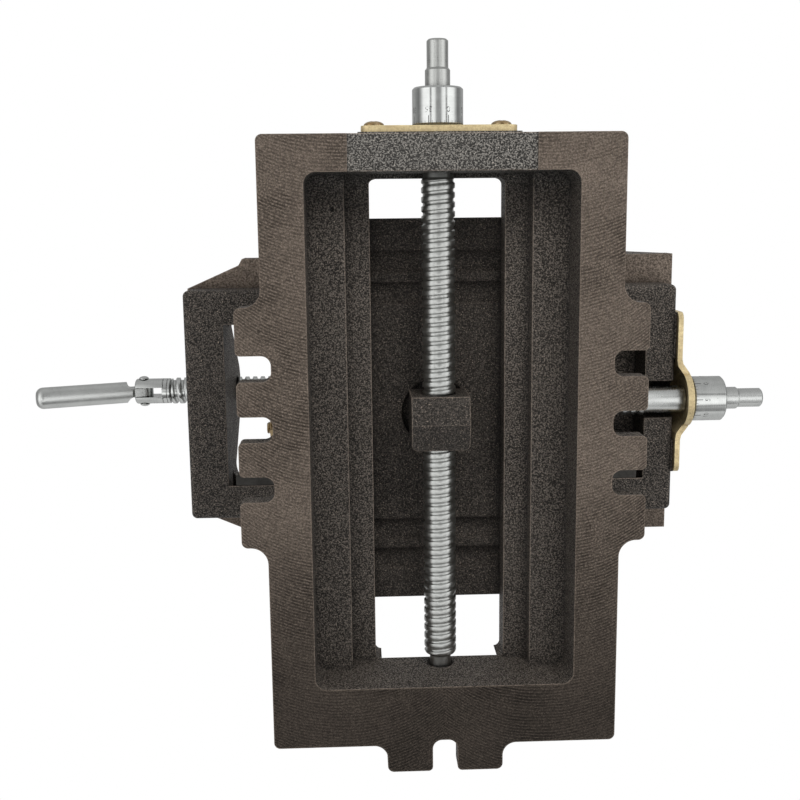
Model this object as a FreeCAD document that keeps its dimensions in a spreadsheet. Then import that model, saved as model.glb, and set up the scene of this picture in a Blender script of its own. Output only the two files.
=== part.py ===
"""Cross slide vise of the 150 mm class, modelled in millimetres with +Z up.

The origin is the centre of the base's mounting face. X runs along the jaws' travel, from the folding
handle (-X) to the fixed jaw (+X). Y runs from the operator's side (-Y) to the rear (+Y).
Everything above the base is drawn about its own centre line and placed at the saddle's rest position.
"""

import FreeCAD, Part
import os
import re
import Sketcher

os.makedirs("parts", exist_ok=True)
doc = FreeCAD.newDocument("cross_slide_vise")
Vector = FreeCAD.Vector

# Driving dimensions, each with its name, value and meaning
SIZES = [
    ("base_width", 165.0, "width of the base's mounting face"),
    ("base_length", 288.5, "length of the base's mounting face, front to rear"),
    ("foot_height", 10.0, "thickness of the foot around the base"),
    ("wall_inset", 5.0, "side wall behind the foot's edge"),
    ("deck_level", 36.0, "height of the deck beside the ways"),
    ("way_level", 50.0, "height of the base's ways"),
    ("way_foot", 50.0, "half width of the ways at the deck"),
    ("way_run", 8.0, "sideways run of a dovetail flank"),
    ("pocket_half", 61.9, "half width of the pocket under the base"),
    ("pocket_floor", 25.0, "height of the pocket's floor"),
    ("trough_half", 44.3, "half width of the deeper trough in the pocket"),
    ("trough_floor", 35.0, "height of the trough's floor"),
    ("deck_slot_half", 32.5, "half width of the slot through the deck"),
    ("front_wall", 16.5, "thickness of the base's front wall"),
    ("rear_wall", 29.3, "thickness of the base's rear wall"),
    ("deck_lip", 2.0, "lip of the deck over the front wall's inner face"),
    ("front_wall_level", 44.0, "top of the front wall between the ways"),
    ("rear_wall_level", 37.0, "top of the rear wall between the ways"),
    ("pocket_corner", 5.5, "corner radius of the pocket"),
    ("deck_corner", 3.0, "corner radius of the deck slot"),
    ("recess_half", 42.4, "half width of the shallow recess under the front wall"),
    ("recess_depth", 0.6, "depth of the recess under the front wall"),
    ("ear_reach", 94.6, "half width across the slotted ears"),
    ("ear_half", 56.0, "half length of the slotted ears"),
    ("ear_middle", -12.2, "middle of the slotted ears"),
    ("ear_flare", 8.0, "radius from the foot's side into an ear"),
    ("bolt_slot", 12.0, "width of a mounting slot"),
    ("bolt_slot_bottom", 78.6, "half width between the bottoms of the side slots"),
    ("bolt_slot_pitch", 28.1, "pitch of the side slots"),
    ("bolt_slot_corner", 4.5, "corner radius at the bottom of a slot"),
    ("finger_corner", 2.2, "corner radius at the mouth of a slot"),
    ("rear_ear_half", 27.9, "half width of the rear ear"),
    ("rear_ear_reach", 13.7, "reach of the rear ear behind the base"),
    ("rear_slot_depth", 15.9, "depth of the rear mounting slot"),
    ("rear_ear_flare", 6.5, "radius from the base into the rear ear"),
    ("front_pad_half", 37.5, "half width of the pad under the front plate"),
    ("front_pad_height", 30.0, "height of the pad under the front plate"),
    ("front_pad_proud", 1.6, "how far that pad stands out of the front wall"),
    ("feed_level", 30.0, "height of the Y lead screw's axis"),
    ("thread_size", 16.0, "outside diameter of the feed threads"),
    ("shank_size", 14.4, "diameter of the feed screws in their end walls"),
    ("spindle_size", 11.7, "diameter of the feed screws under the collars"),
    ("crank_size", 10.0, "diameter of the bare crank ends"),
    ("crank_length", 12.8, "length of the bare crank ends"),
    ("crank_shoulder", 7.8, "bare spindle between collar and crank end"),
    ("crank_cone", 1.0, "length of the cone down to the crank end"),
    ("crank_bevel", 0.8, "bevel at the tip of the crank end"),
    ("tail_size", 10.5, "diameter of the Y lead screw's rear journal"),
    ("tail_length", 22.0, "length of the rear journal"),
    ("tail_mouth", 13.5, "diameter of the countersunk mouth of its hole"),
    ("tail_bore_spare", 2.0, "depth of its hole beyond the journal"),
    ("thread_bevel", 2.6, "cone at the end of a thread"),
    ("thread_end_gap", 4.7, "bare journal before the rear wall"),
    ("collar_size", 23.7, "diameter of the graduated collars"),
    ("collar_length", 17.4, "length of the graduated collars"),
    ("collar_bevel", 0.9, "bevel on the collars' edges"),
    ("set_screw", 5.0, "thread of the collars' set screws"),
    ("set_screw_sunk", 0.5, "depth of a set screw's end under the collar's surface"),
    ("fit_gap", 0.05, "radial running clearance of shafts"),
    ("slide_gap", 0.1, "clearance on the sliding faces"),
    ("face_gap", 0.3, "clearance beside faces that turn"),
    ("front_plate_half", 35.9, "half length of the front retainer plate"),
    ("front_plate_height", 26.0, "height of the front retainer plate"),
    ("front_plate_thick", 3.0, "thickness of the front retainer plate"),
    ("front_screw_half", 29.8, "half spacing of the front plate's screws"),
    ("plate_screw", 5.0, "thread of the retainer plates' screws"),
    ("plate_screw_head", 9.6, "head of the retainer plates' screws"),
    ("plate_screw_rise", 2.9, "height of those heads"),
    ("plate_screw_length", 12.0, "length of those screws"),
    ("rest_y", -10.0, "place of the saddle's centre line at rest"),
    ("saddle_half_x", 78.0, "half width of the saddle"),
    ("saddle_half_y", 97.0, "half length of the saddle"),
    ("saddle_skirt_y", 64.0, "half length of the saddle's full height"),
    ("saddle_skirt_level", 66.0, "top of the saddle's ends"),
    ("leg_clear", 0.8, "gap between the saddle's legs and the deck"),
    ("gib_thick", 5.5, "thickness of the gibs, along the slide's width"),
    ("cross_level", 76.9, "height of the saddle's upper bearing faces"),
    ("cross_top", 91.5, "height of the saddle's upper dovetail"),
    ("cross_front", 43.0, "half width of the upper dovetail's foot, front side"),
    ("cross_rear", 37.0, "half width of the upper dovetail's foot, gib side"),
    ("cross_half_x", 62.0, "half length of the upper dovetail"),
    ("channel_half", 17.0, "half width of the channel for the X lead screw"),
    ("channel_floor", 62.0, "height of that channel's floor"),
    ("bead_pitch", 15.5, "spacing of the grooves under the saddle"),
    ("bead_place", 60.5, "place of the inner groove from the saddle's middle"),
    ("bead_radius", 6.0, "radius of the grooves under the saddle"),
    ("bead_depth", 3.6, "depth of the grooves under the saddle"),
    ("nut_well", 17.5, "radius of the round well over the Y nut"),
    ("nut_well_depth", 6.0, "depth of that well"),
    ("nut_half_x", 14.0, "half width of the Y nut"),
    ("nut_half_y", 13.0, "half length of the Y nut"),
    ("nut_low", 14.0, "lowest point of the Y nut"),
    ("nut_shoulder", 44.0, "top of the Y nut's block"),
    ("nut_ridge_drop", 4.0, "rise of the Y nut's underside to its ends"),
    ("nut_stem", 12.0, "radius of the Y nut's stem"),
    ("nut_bolt", 8.0, "thread of the Y nut's bolt"),
    ("nut_bolt_head", 13.0, "head of the Y nut's bolt"),
    ("nut_bolt_rise", 5.0, "height of that head"),
    ("nut_bolt_reach", 45.5, "lowest point of the Y nut's bolt"),
    ("gib_screw", 6.0, "thread of the gib screws"),
    ("gib_screw_proud", 6.6, "length of a gib screw outside its wall"),
    ("lock_nut", 10.0, "width across the flats of the lock nuts"),
    ("lock_nut_thick", 5.0, "thickness of the lock nuts"),
    ("gib_screw_level", 43.0, "height of the Y gib's screws"),
    ("gib_screw_middle", 5.0, "place of the middle Y gib screw"),
    ("gib_screw_pitch", 58.0, "pitch of the Y gib's screws"),
    ("cross_feed_level", 78.0, "height of the X lead screw's axis"),
    ("cross_thread_start", -86.5, "left end of the X lead screw's thread"),
    ("x_nut_place", -28.0, "place of the X nut"),
    ("x_nut_half", 12.0, "half length of the X nut's block"),
    ("x_nut_foot", 21.0, "half length of the X nut's foot"),
    ("x_nut_foot_thick", 6.0, "thickness of the X nut's foot"),
    ("x_nut_half_y", 15.0, "half width of the X nut"),
    ("x_nut_top", 90.0, "top of the X nut"),
    ("x_nut_screw", 5.0, "thread of the X nut's screws"),
    ("x_nut_screw_head", 8.4, "head of the X nut's screws"),
    ("x_nut_screw_rise", 2.8, "height of those heads"),
    ("x_nut_screw_length", 14.0, "length of those screws"),
    ("x_nut_screw_depth", 9.0, "depth of their holes in the saddle"),
    ("x_nut_screw_x", 16.5, "place of those screws along X from the nut"),
    ("x_nut_screw_y", 10.5, "place of those screws across the nut"),
    ("body_left", -129.5, "left end of the vise body"),
    ("left_wall", 20.5, "thickness of the left end wall"),
    ("body_right", 129.5, "right face of the right end wall"),
    ("right_wall", 16.0, "thickness of the right end wall"),
    ("bed_right", 132.0, "right end of the bed"),
    ("rail_half", 61.0, "half width across the rails"),
    ("cavity_half", 52.0, "half width of the space between the rails"),
    ("ledge_level", 99.0, "underside of the bed over that space"),
    ("bed_under", 97.0, "underside of the bed outside the rails"),
    ("bed_level", 110.0, "top of the bed"),
    ("bed_half", 76.5, "half width of the bed"),
    ("bed_slot_half", 47.0, "half width of the slot through the bed"),
    ("bed_slot_end", 84.0, "right end of the slot through the bed"),
    ("bed_slot_corner", 9.0, "corner radius of the openings in the vise body"),
    ("shoulder_x", -102.0, "where the bed starts to narrow to the left end"),
    ("shoulder_half", 73.0, "half width of the bed at that place"),
    ("shoulder_step", 2.0, "run of the step up to the bed's full width"),
    ("notch_half", 10.0, "half width of the notch for the X lead screw"),
    ("vise_level", 135.0, "height of the vise screw's axis"),
    ("lug_radius", 18.0, "radius of the lug around the vise screw"),
    ("lug_foot", 44.0, "half width of the lug at the bed"),
    ("right_pad_proud", 0.3, "pads behind the dished plate"),
    ("dished_front", 46.6, "reach of the dished plate in front of the X lead screw"),
    ("dished_rear", 39.6, "reach of the dished plate behind the X lead screw"),
    ("dished_low", 74.0, "lower edge of the dished plate's arms"),
    ("dished_high", 95.5, "upper edge of the dished plate"),
    ("dished_thick", 2.7, "thickness of the dished plate"),
    ("dished_lobe", 14.5, "radius of its lobe around the X lead screw"),
    ("dish_top", 12.5, "radius of the dish's flat top"),
    ("dish_foot", 22.0, "radius of the dish's foot"),
    ("dish_rise", 4.7, "rise of the dish"),
    ("plate_round", 4.0, "corner radius of the retainer plates"),
    ("dished_screw_inset", 8.1, "distance of the dished plate's screws from its ends"),
    ("dished_screw_level", 85.5, "height of the dished plate's screws"),
    ("gib_left", -105.0, "left end of the X gib"),
    ("gib_right", 110.0, "right end of the X gib"),
    ("cross_gib_level", 84.3, "height of the X gib's screws"),
    ("cross_gib_pitch", 52.0, "pitch of the X gib's screws"),
    ("jaw_level", 158.0, "top of the jaws"),
    ("jaw_side_step", 0.3, "step from the bed's side in to the jaws' side"),
    ("jaw_plate", 8.0, "thickness of the jaw plates"),
    ("jaw_plate_low", 111.0, "lower edge of the jaw plates"),
    ("jaw_plate_high", 157.0, "upper edge of the jaw plates"),
    ("fixed_face", 92.0, "face of the fixed jaw's plate"),
    ("jaw_opening", 16.0, "opening of the jaws at rest"),
    ("jaw_screw_half", 48.0, "half spacing of the jaw plates' screws"),
    ("jaw_screw", 6.0, "thread of the jaw plates' screws"),
    ("jaw_screw_head", 12.0, "countersunk head of those screws"),
    ("jaw_screw_length", 20.0, "length of those screws"),
    ("jaw_screw_level", 131.0, "height of those screws"),
    ("jaw_hole_spare", 1.5, "depth of a tapped hole beyond its screw"),
    ("jaw_back_foot", 8.0, "upright part of the fixed jaw's back"),
    ("vee_level", 147.0, "height of the moving plate's level groove"),
    ("vee_depth", 3.5, "depth of the moving plate's V grooves"),
    ("jaw_top_depth", 16.0, "thickness of the jaws at their top"),
    ("jaw_foot_depth", 50.0, "length of the movable jaw on the bed"),
    ("jaw_boss", 17.0, "radius of the boss on the movable jaw"),
    ("jaw_wing", 11.0, "height of the movable jaw's side wings"),
    ("tongue_gap", 0.5, "side clearance of the movable jaw's tongue"),
    ("keeper_thick", 5.4, "thickness of the keeper plate"),
    ("keeper_half_x", 17.0, "half length of the keeper plate"),
    ("keeper_gap", 0.2, "clearance between keeper and bed"),
    ("keeper_screw", 8.0, "thread of the keeper plate's screws"),
    ("keeper_screw_head", 14.0, "countersunk head of those screws"),
    ("keeper_screw_length", 18.0, "length of those screws"),
    ("keeper_screw_y", 22.0, "place of those screws across the plate"),
    ("vise_thread", 15.0, "outside diameter of the vise screw's thread"),
    ("nose_size", 12.0, "journal at the inner end of the vise screw"),
    ("nose_length", 15.6, "length of that journal"),
    ("neck_size", 8.6, "groove for the horseshoe plate"),
    ("horseshoe_thick", 3.0, "thickness of the horseshoe plate"),
    ("horseshoe_half", 16.0, "half width of the horseshoe plate"),
    ("horseshoe_drop", 14.0, "reach of the horseshoe plate below the screw"),
    ("horseshoe_rise", 11.0, "reach of the horseshoe plate above the screw"),
    ("horseshoe_screw_y", 11.0, "place of its screws across the plate"),
    ("horseshoe_screw_drop", 8.5, "place of its screws below the vise screw"),
    ("horseshoe_screw", 4.0, "thread of its screws"),
    ("horseshoe_screw_head", 7.6, "head of its screws"),
    ("horseshoe_screw_rise", 2.2, "height of those heads"),
    ("horseshoe_screw_length", 13.0, "length of its screws"),
    ("fork_start", -147.5, "right end of the fork on the vise screw"),
    ("fork_end", -166.9, "left end of the fork"),
    ("fork_size", 14.4, "diameter of the fork"),
    ("fork_slot", 5.4, "width of the fork's slot"),
    ("fork_slot_depth", 15.0, "depth of the fork's slot"),
    ("fork_bevel", 1.5, "bevel at the fork's end"),
    ("hinge_x", -162.4, "place of the hinge pin"),
    ("hinge_pin", 4.0, "diameter of the hinge pin"),
    ("hinge_head", 5.6, "diameter of the hinge pin's heads"),
    ("hinge_head_rise", 1.5, "height of the hinge pin's heads"),
    ("tongue_thick", 5.0, "thickness of the handle's tongue"),
    ("tongue_height", 10.0, "height of the handle's tongue"),
    ("bar_start", 7.4, "start of the round bar from the hinge"),
    ("bar_end", 60.1, "end of the round bar from the hinge"),
    ("bar_size", 12.0, "diameter of the round bar"),
    ("bar_round", 4.0, "rounding of the bar's end"),
    ("handle_droop", 20.6, "angle of the handle below level at rest"),
    ("casting_round", 3.0, "edge radius on the castings"),
    ("large_round", 7.0, "larger edge radius on the castings"),
]

sheet = doc.addObject("Spreadsheet::Sheet", "dims")
for line, (alias, number, meaning) in enumerate(SIZES, start=1):
    sheet.set("A%d" % line, str(number))
    sheet.setAlias("A%d" % line, alias)
    sheet.set("B%d" % line, meaning)
doc.recompute()
ALIASES = {alias for alias, number, meaning in SIZES}
WORD = re.compile(r"[a-z_][a-z_0-9]*")

# Places worked out from the driving dimensions
FRONT = "(-base_length / 2)"
REAR = "(base_length / 2)"
FRONT_INNER = "(-base_length / 2 + front_wall)"
REAR_INNER = "(base_length / 2 - rear_wall)"
FRONT_PAD = "(-base_length / 2 - front_pad_proud)"
FRONT_PLATE = "(-base_length / 2 - front_pad_proud - front_plate_thick)"
LEG_LOW = "(deck_level + leg_clear)"
SADDLE_ROOF = "(way_level + slide_gap)"
RAIL_LEVEL = "(cross_level + slide_gap)"
LEFT_INNER = "(body_left + left_wall)"
RIGHT_INNER = "(body_right - right_wall)"
RIGHT_PAD = "(body_right + right_pad_proud)"
RIGHT_PLATE = "(body_right + right_pad_proud + dished_thick)"
DISH_FACE = "(body_right + right_pad_proud + dished_thick + dish_rise)"
DISH_INNER = "(body_right + right_pad_proud + dish_rise)"
DISHED_SCREWS = ("(-dished_front + dished_screw_inset)", "(dished_rear - dished_screw_inset)")
JAW_HALF = "(bed_half - jaw_side_step)"
RAIL_REAR = "(cross_rear + gib_thick + 3 * slide_gap)"
FIXED_BLOCK = "(fixed_face + jaw_plate)"
MOVING_FACE = "(fixed_face - jaw_opening)"
MOVING_BLOCK = "(fixed_face - jaw_opening - jaw_plate)"
MOVING_BACK = "(fixed_face - jaw_opening - jaw_plate - jaw_foot_depth)"
KEEPER_MIDDLE = "(fixed_face - jaw_opening - jaw_plate - jaw_foot_depth / 2)"
KEEPER_TOP = "(ledge_level - keeper_gap)"
KEEPER_LOW = "(ledge_level - keeper_gap - keeper_thick)"
JAW_LOW = "(bed_level + slide_gap)"
nodes = []


def cells(text):
    """The expression with each alias written as a cell of the sheet."""
    return WORD.sub(lambda m: "dims." + m.group() if m.group() in ALIASES else m.group(), str(text))


def value(text):
    """The expression's present number."""
    return float(sheet.evalExpression(cells(text)))


def bind(thing, **sizes):
    """Bind properties to expressions; x, y and z stand for the placement's coordinates."""
    for name, text in sizes.items():
        path = "Placement.Base." + name if name in ("x", "y", "z") else name
        thing.setExpression(path, cells(text))


def new_body(label, y="0"):
    """A PartDesign body with its own label, placed at y."""
    made = doc.addObject("PartDesign::Body", label)
    made.Label = label
    bind(made, y=y)
    nodes.append(made)
    return made


def plane_of(body, role):
    return next(item for item in body.Origin.OriginFeatures if item.Role == role)


def new_sketch(body, role, offset="0"):
    """A sketch on one of the body's own planes, moved along that plane's normal."""
    made = body.newObject("Sketcher::SketchObject", "outline")
    made.AttachmentSupport = [(plane_of(body, role), "")]
    made.MapMode = "FlatFace"
    made.setExpression("AttachmentOffset.Base.z", cells(offset))
    return made


def pin_point(sketch, line, end, across, up):
    """Hold one end of a line at a pair of expressions."""
    for kind, axis, text in (("DistanceX", -2, across), ("DistanceY", -1, up)):
        number = value(text)
        if abs(number) < 1e-9:
            sketch.addConstraint(Sketcher.Constraint("PointOnObject", line, end, axis))
        else:
            mark = sketch.addConstraint(Sketcher.Constraint(kind, -1, 1, line, end, number))
            sketch.setExpression("Constraints[%d]" % mark, cells(text))


def draw_outline(sketch, corners):
    """A closed outline with straight sides; each corner is a pair of expressions."""
    points = [Vector(value(across), value(up), 0) for across, up in corners]
    count = len(points)
    first = sketch.GeometryCount
    for i in range(count):
        sketch.addGeometry(Part.LineSegment(points[i], points[(i + 1) % count]), False)
    for i in range(count):
        sketch.addConstraint(Sketcher.Constraint("Coincident", first + i, 2, first + (i + 1) % count, 1))
    for i, (across, up) in enumerate(corners):
        pin_point(sketch, first + i, 1, across, up)


def extrude(body, kind, role, corners, length, offset="0"):
    """Pad or pocket an outline equally to both sides of its plane."""
    sketch = new_sketch(body, role, offset)
    draw_outline(sketch, corners)
    made = body.newObject("PartDesign::" + kind, kind.lower())
    made.Profile = sketch
    made.SideType = "Symmetric"
    bind(made, Length=length)
    doc.recompute()
    return made


def turned(label, role, outline, y, z):
    """A body turned about its own axis, which lies along the sketch's horizontal; placed at y, z."""
    made = new_body(label, y)
    bind(made, z=z)
    sketch = new_sketch(made, role)
    draw_outline(sketch, outline)
    turning = made.newObject("PartDesign::Revolution", "turning")
    turning.Profile = sketch
    turning.ReferenceAxis = (sketch, ["H_Axis"])
    turning.Angle = 360
    doc.recompute()
    return made


def block(body, kind, x, y, z):
    """An additive or subtractive box between pairs of expressions."""
    made = body.newObject("PartDesign::%sBox" % kind, kind.lower() + "_box")
    spans = ["(%s) - (%s)" % (high, low) for low, high in (x, y, z)]
    bind(made, Length=spans[0], Width=spans[1], Height=spans[2], x=x[0], y=y[0], z=z[0])
    return made


TURNS = {
    "x": FreeCAD.Rotation(Vector(0, 1, 0), 90),
    "y": FreeCAD.Rotation(Vector(1, 0, 0), -90),
    "z": FreeCAD.Rotation(),
}


def rod(body, kind, direction, radius, length, x, y, z):
    """An additive or subtractive cylinder that starts at x, y, z and runs along an axis."""
    made = body.newObject("PartDesign::%sCylinder" % kind, kind.lower() + "_cylinder")
    made.Placement = FreeCAD.Placement(Vector(), TURNS[direction])
    bind(made, Radius=radius, Height=length, x=x, y=y, z=z)
    return made


def cone(body, kind, direction, wide, narrow, length, x, y, z):
    """An additive or subtractive cone, its first radius at x, y, z."""
    made = body.newObject("PartDesign::%sCone" % kind, kind.lower() + "_cone")
    made.Placement = FreeCAD.Placement(Vector(), TURNS[direction])
    bind(made, Radius1=wide, Radius2=narrow, Height=length, x=x, y=y, z=z)
    return made


def both(text):
    """A pair of expressions at equal distances on both sides of zero."""
    return ("(-(%s))" % text, "(%s)" % text)


def edges_of(shape, test):
    """Names of the edges whose ends pass the test; a full circle has one end."""
    return ["Edge%d" % number for number, edge in enumerate(shape.Edges, start=1)
            if test(*[vertex.Point for vertex in edge.Vertexes])]


def near(a, b):
    return abs(a - b) < 1e-3


def upright_at(*places):
    """A test for upright edges at pairs of expressions."""
    spots = [(value(x), value(y)) for x, y in places]

    def test(start, end=None):
        if end is None:
            return False
        upright = near(start.x, end.x) and near(start.y, end.y)
        return upright and any(near(start.x, x) and near(start.y, y) for x, y in spots)

    return test


def round_edges(body, kind, test, size):
    """Fillet or chamfer the edges of the body's tip that pass the test."""
    doc.recompute()
    tip = body.Tip
    names = edges_of(tip.Shape, test)
    made = body.newObject("PartDesign::" + kind, kind.lower())
    made.Base = (tip, names)
    bind(made, **{"Radius" if kind == "Fillet" else "Size": size})
    doc.recompute()
    return made


def along(direction, *places):
    """A test for edges along an axis at pairs of expressions for the other two coordinates."""
    spots = [(value(a), value(b)) for a, b in places]
    others = [axis for axis in "xyz" if axis != direction]

    def test(start, end=None):
        if end is None:
            return False
        held = all(near(getattr(start, axis), getattr(end, axis)) for axis in others)
        return held and any(
            near(getattr(start, others[0]), a) and near(getattr(start, others[1]), b) for a, b in spots)

    return test


def flank(foot, low, high, level):
    """Half width of a dovetail at a level, from its foot up."""
    return "(%s + way_run * (%s - %s) / (%s - %s))" % (foot, level, low, high, low)


def build_base():
    """Foot with slotted ears, walls, dovetail ways, pocket and screw bores."""
    base = new_body("base_casting")
    foot = ("0", "foot_height")
    half = ("(-base_width / 2)", "(base_width / 2)")
    ear_ends = ("(ear_middle - ear_half)", "(ear_middle + ear_half)")
    rear_tip = "(base_length / 2 + rear_ear_reach)"
    block(base, "Additive", half, (FRONT, REAR), foot)
    block(base, "Additive", both("ear_reach"), ear_ends, foot)
    block(base, "Additive", both("rear_ear_half"), ("0", rear_tip), foot)
    spots = [(x, y) for x in half for y in ear_ends]
    round_edges(base, "Fillet", upright_at(*spots), "ear_flare")
    round_edges(base, "Fillet", upright_at(*[(x, REAR) for x in both("rear_ear_half")]), "rear_ear_flare")

    wall = "(base_width / 2 - wall_inset)"
    block(base, "Additive", both(wall), (FRONT, REAR), ("0", "deck_level"))
    top = flank("way_foot", "deck_level", "way_level", "way_level")
    extrude(base, "Pad", "XZ_Plane", [
        ("-way_foot", "deck_level - 1"), ("way_foot", "deck_level - 1"), ("way_foot", "deck_level"),
        (top, "way_level"), ("-%s" % top, "way_level"), ("-way_foot", "deck_level")], "base_length")
    block(base, "Additive", both("front_pad_half"), (FRONT_PAD, FRONT_INNER),
          ("feed_level - front_pad_height / 2", "feed_level + front_pad_height / 2"))

    outer = [(x, y) for x in half for y in (FRONT, REAR)]
    outer += [(x, y) for x in both(wall) for y in (FRONT, REAR)]
    tips = [(x, y) for x in both("ear_reach") for y in ear_ends]
    tips += [(x, rear_tip) for x in both("rear_ear_half")]
    round_edges(base, "Fillet", upright_at(*outer, *tips), "casting_round")
    sides = along("y", *[(x, "deck_level") for x in both(wall)])
    round_edges(base, "Fillet", sides, "casting_round")

    long_way = (FRONT_INNER, REAR_INNER)
    block(base, "Subtractive", both("pocket_half"), long_way, ("0", "pocket_floor"))
    pocket = [(x, y) for x in both("pocket_half") for y in long_way]
    round_edges(base, "Fillet", upright_at(*pocket), "pocket_corner")
    block(base, "Subtractive", both("trough_half"), long_way, ("0", "trough_floor"))
    slot_ends = ("(-base_length / 2 + front_wall + deck_lip)", REAR_INNER)
    block(base, "Subtractive", both("deck_slot_half"), slot_ends, ("trough_floor - 1", "way_level"))
    slot = [(x, y) for x in both("deck_slot_half") for y in slot_ends]
    round_edges(base, "Fillet", upright_at(*slot), "deck_corner")
    block(base, "Subtractive", both("deck_slot_half"), (FRONT_PAD, slot_ends[0]),
          ("front_wall_level", "way_level"))
    block(base, "Subtractive", both("deck_slot_half"), (REAR_INNER, REAR), ("rear_wall_level", "way_level"))
    block(base, "Subtractive", both("recess_half"), (FRONT, FRONT_INNER), ("0", "recess_depth"))

    for row in (-1, 0, 1):
        middle = "(ear_middle + %d * bolt_slot_pitch)" % row
        edges = ("%s - bolt_slot / 2" % middle, "%s + bolt_slot / 2" % middle)
        for x in (("(-ear_reach)", "(-bolt_slot_bottom)"), ("bolt_slot_bottom", "ear_reach")):
            block(base, "Subtractive", x, edges, foot)
    rows = ["(ear_middle + %d * bolt_slot_pitch %s bolt_slot / 2)" % (row, side)
            for row in (-1, 0, 1) for side in "+-"]
    bottoms = [(x, y) for x in both("bolt_slot_bottom") for y in rows]
    round_edges(base, "Fillet", upright_at(*bottoms), "bolt_slot_corner")
    slot_x = both("bolt_slot / 2")
    slot_bottom = "(base_length / 2 + rear_ear_reach - rear_slot_depth)"
    block(base, "Subtractive", slot_x, ("(%s + bolt_slot_corner)" % slot_bottom, rear_tip), foot)
    block(base, "Subtractive", both("bolt_slot / 2 - bolt_slot_corner"), (slot_bottom, rear_tip), foot)
    for x in both("bolt_slot / 2 - bolt_slot_corner"):
        rod(base, "Subtractive", "z", "bolt_slot_corner", "foot_height", x,
            "(%s + bolt_slot_corner)" % slot_bottom, "0")
    mouths = [(x, y) for x in both("ear_reach") for y in rows] + [(x, rear_tip) for x in slot_x]
    round_edges(base, "Fillet", upright_at(*mouths), "finger_corner")

    rod(base, "Subtractive", "y", "shank_size / 2 + fit_gap", "front_wall + front_pad_proud + deck_lip",
        "0", FRONT_PAD, "feed_level")
    rod(base, "Subtractive", "y", "tail_size / 2 + fit_gap", "tail_length + tail_bore_spare", "0", REAR_INNER,
        "feed_level")
    doc.recompute()
    cone(base, "Subtractive", "y", "tail_mouth / 2", "tail_size / 2", "tail_mouth / 2 - tail_size / 2",
         "0", REAR_INNER, "feed_level")
    for x in both("front_screw_half"):
        rod(base, "Subtractive", "y", "plate_screw / 2", "plate_screw_length", x, FRONT_PAD, "feed_level")
    doc.recompute()
    return base


def spindle_outline(way, plate, shoulder, shank_from, after):
    """Half outline of a feed screw: crank end, spindle, shank, thread and what follows it.

    way is +1 or -1, the direction of the crank end; the shank's shoulder lies behind the plate, and the
    collar and the crank end in front of it.
    """
    sign = "+" if way > 0 else "-"
    back = "-" if way > 0 else "+"
    bare = "(%s %s collar_length %s face_gap %s crank_shoulder)" % (plate, sign, sign, sign)
    crank = "(%s %s crank_cone)" % (bare, sign)
    tip = "(%s %s crank_length)" % (crank, sign)
    bevelled = "(%s %s crank_bevel)" % (tip, back)
    return [
        (tip, "0"), (tip, "crank_size / 2 - crank_bevel"), (bevelled, "crank_size / 2"),
        (crank, "crank_size / 2"), (bare, "spindle_size / 2"), (shoulder, "spindle_size / 2"),
        (shoulder, "shank_size / 2"), (shank_from, "shank_size / 2"), (shank_from, "thread_size / 2"),
    ] + after


def build_y_screw():
    """Y lead screw: crank end in front, rear journal in the rear wall."""
    thread_end = "(base_length / 2 - rear_wall - thread_end_gap)"
    tail_end = "(base_length / 2 - rear_wall + tail_length)"
    after = [
        ("(%s - thread_bevel)" % thread_end, "thread_size / 2"), (thread_end, "tail_size / 2"),
        (tail_end, "tail_size / 2"), (tail_end, "0"),
    ]
    outline = spindle_outline(-1, FRONT_PLATE, "(%s + face_gap)" % FRONT_PAD,
                              "(%s + deck_lip + face_gap)" % FRONT_INNER, after)
    return turned("y_lead_screw", "YZ_Plane", outline, "0", "feed_level")


def build_x_screw():
    """X lead screw: crank end at the right, thread ending inside the vise body."""
    after = [
        ("(cross_thread_start + thread_bevel)", "thread_size / 2"),
        ("cross_thread_start", "thread_size / 2 - thread_bevel"), ("cross_thread_start", "0"),
    ]
    outline = spindle_outline(1, DISH_FACE, "(%s - face_gap)" % DISH_INNER, "(%s - face_gap)" % RIGHT_INNER,
                              after)
    return turned("x_lead_screw", "XZ_Plane", outline, "rest_y", "cross_feed_level")


def build_collar(label, role, way, plate, y, z):
    """Graduated collar, bored for the spindle, with its set screw on top."""
    sign = "+" if way > 0 else "-"
    near_end = "(%s %s face_gap)" % (plate, sign)
    far_end = "(%s %s face_gap %s collar_length)" % (plate, sign, sign)
    inside = "(%s + (%d) * collar_bevel)" % (near_end, way)
    outside = "(%s - (%d) * collar_bevel)" % (far_end, way)
    bore = "(spindle_size / 2 + fit_gap)"
    collar = turned(label, role, [
        (near_end, bore), (near_end, "collar_size / 2 - collar_bevel"), (inside, "collar_size / 2"),
        (outside, "collar_size / 2"), (far_end, "collar_size / 2 - collar_bevel"), (far_end, bore)], y, z)
    middle = "(%s %s face_gap %s 0.7 * collar_length)" % (plate, sign, sign)
    x, y_place = (middle, "0") if role == "XZ_Plane" else ("0", middle)
    rod(collar, "Subtractive", "z", "set_screw / 2", "collar_size / 2", x, y_place, "0")
    doc.recompute()
    screw = solid("Cylinder", label.replace("dial_collar", "collar_screw"), Radius="set_screw / 2 - fit_gap",
                  Height="collar_size / 2 - spindle_size / 2 - 4 * fit_gap - set_screw_sunk")
    place(screw, Vector(0, 0, 1), x, "%s + %s" % (y, y_place), "%s + spindle_size / 2 + 2 * fit_gap" % z)
    nodes.append(screw)


def solid(kind, label, **sizes):
    """A Part primitive bound to the sheet."""
    made = doc.addObject("Part::" + kind, label)
    bind(made, **sizes)
    return made


def group(label, members):
    """Identical fasteners as one node of separate solids."""
    made = doc.addObject("Part::Compound", label)
    made.Links = members
    nodes.append(made)
    return made


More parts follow.
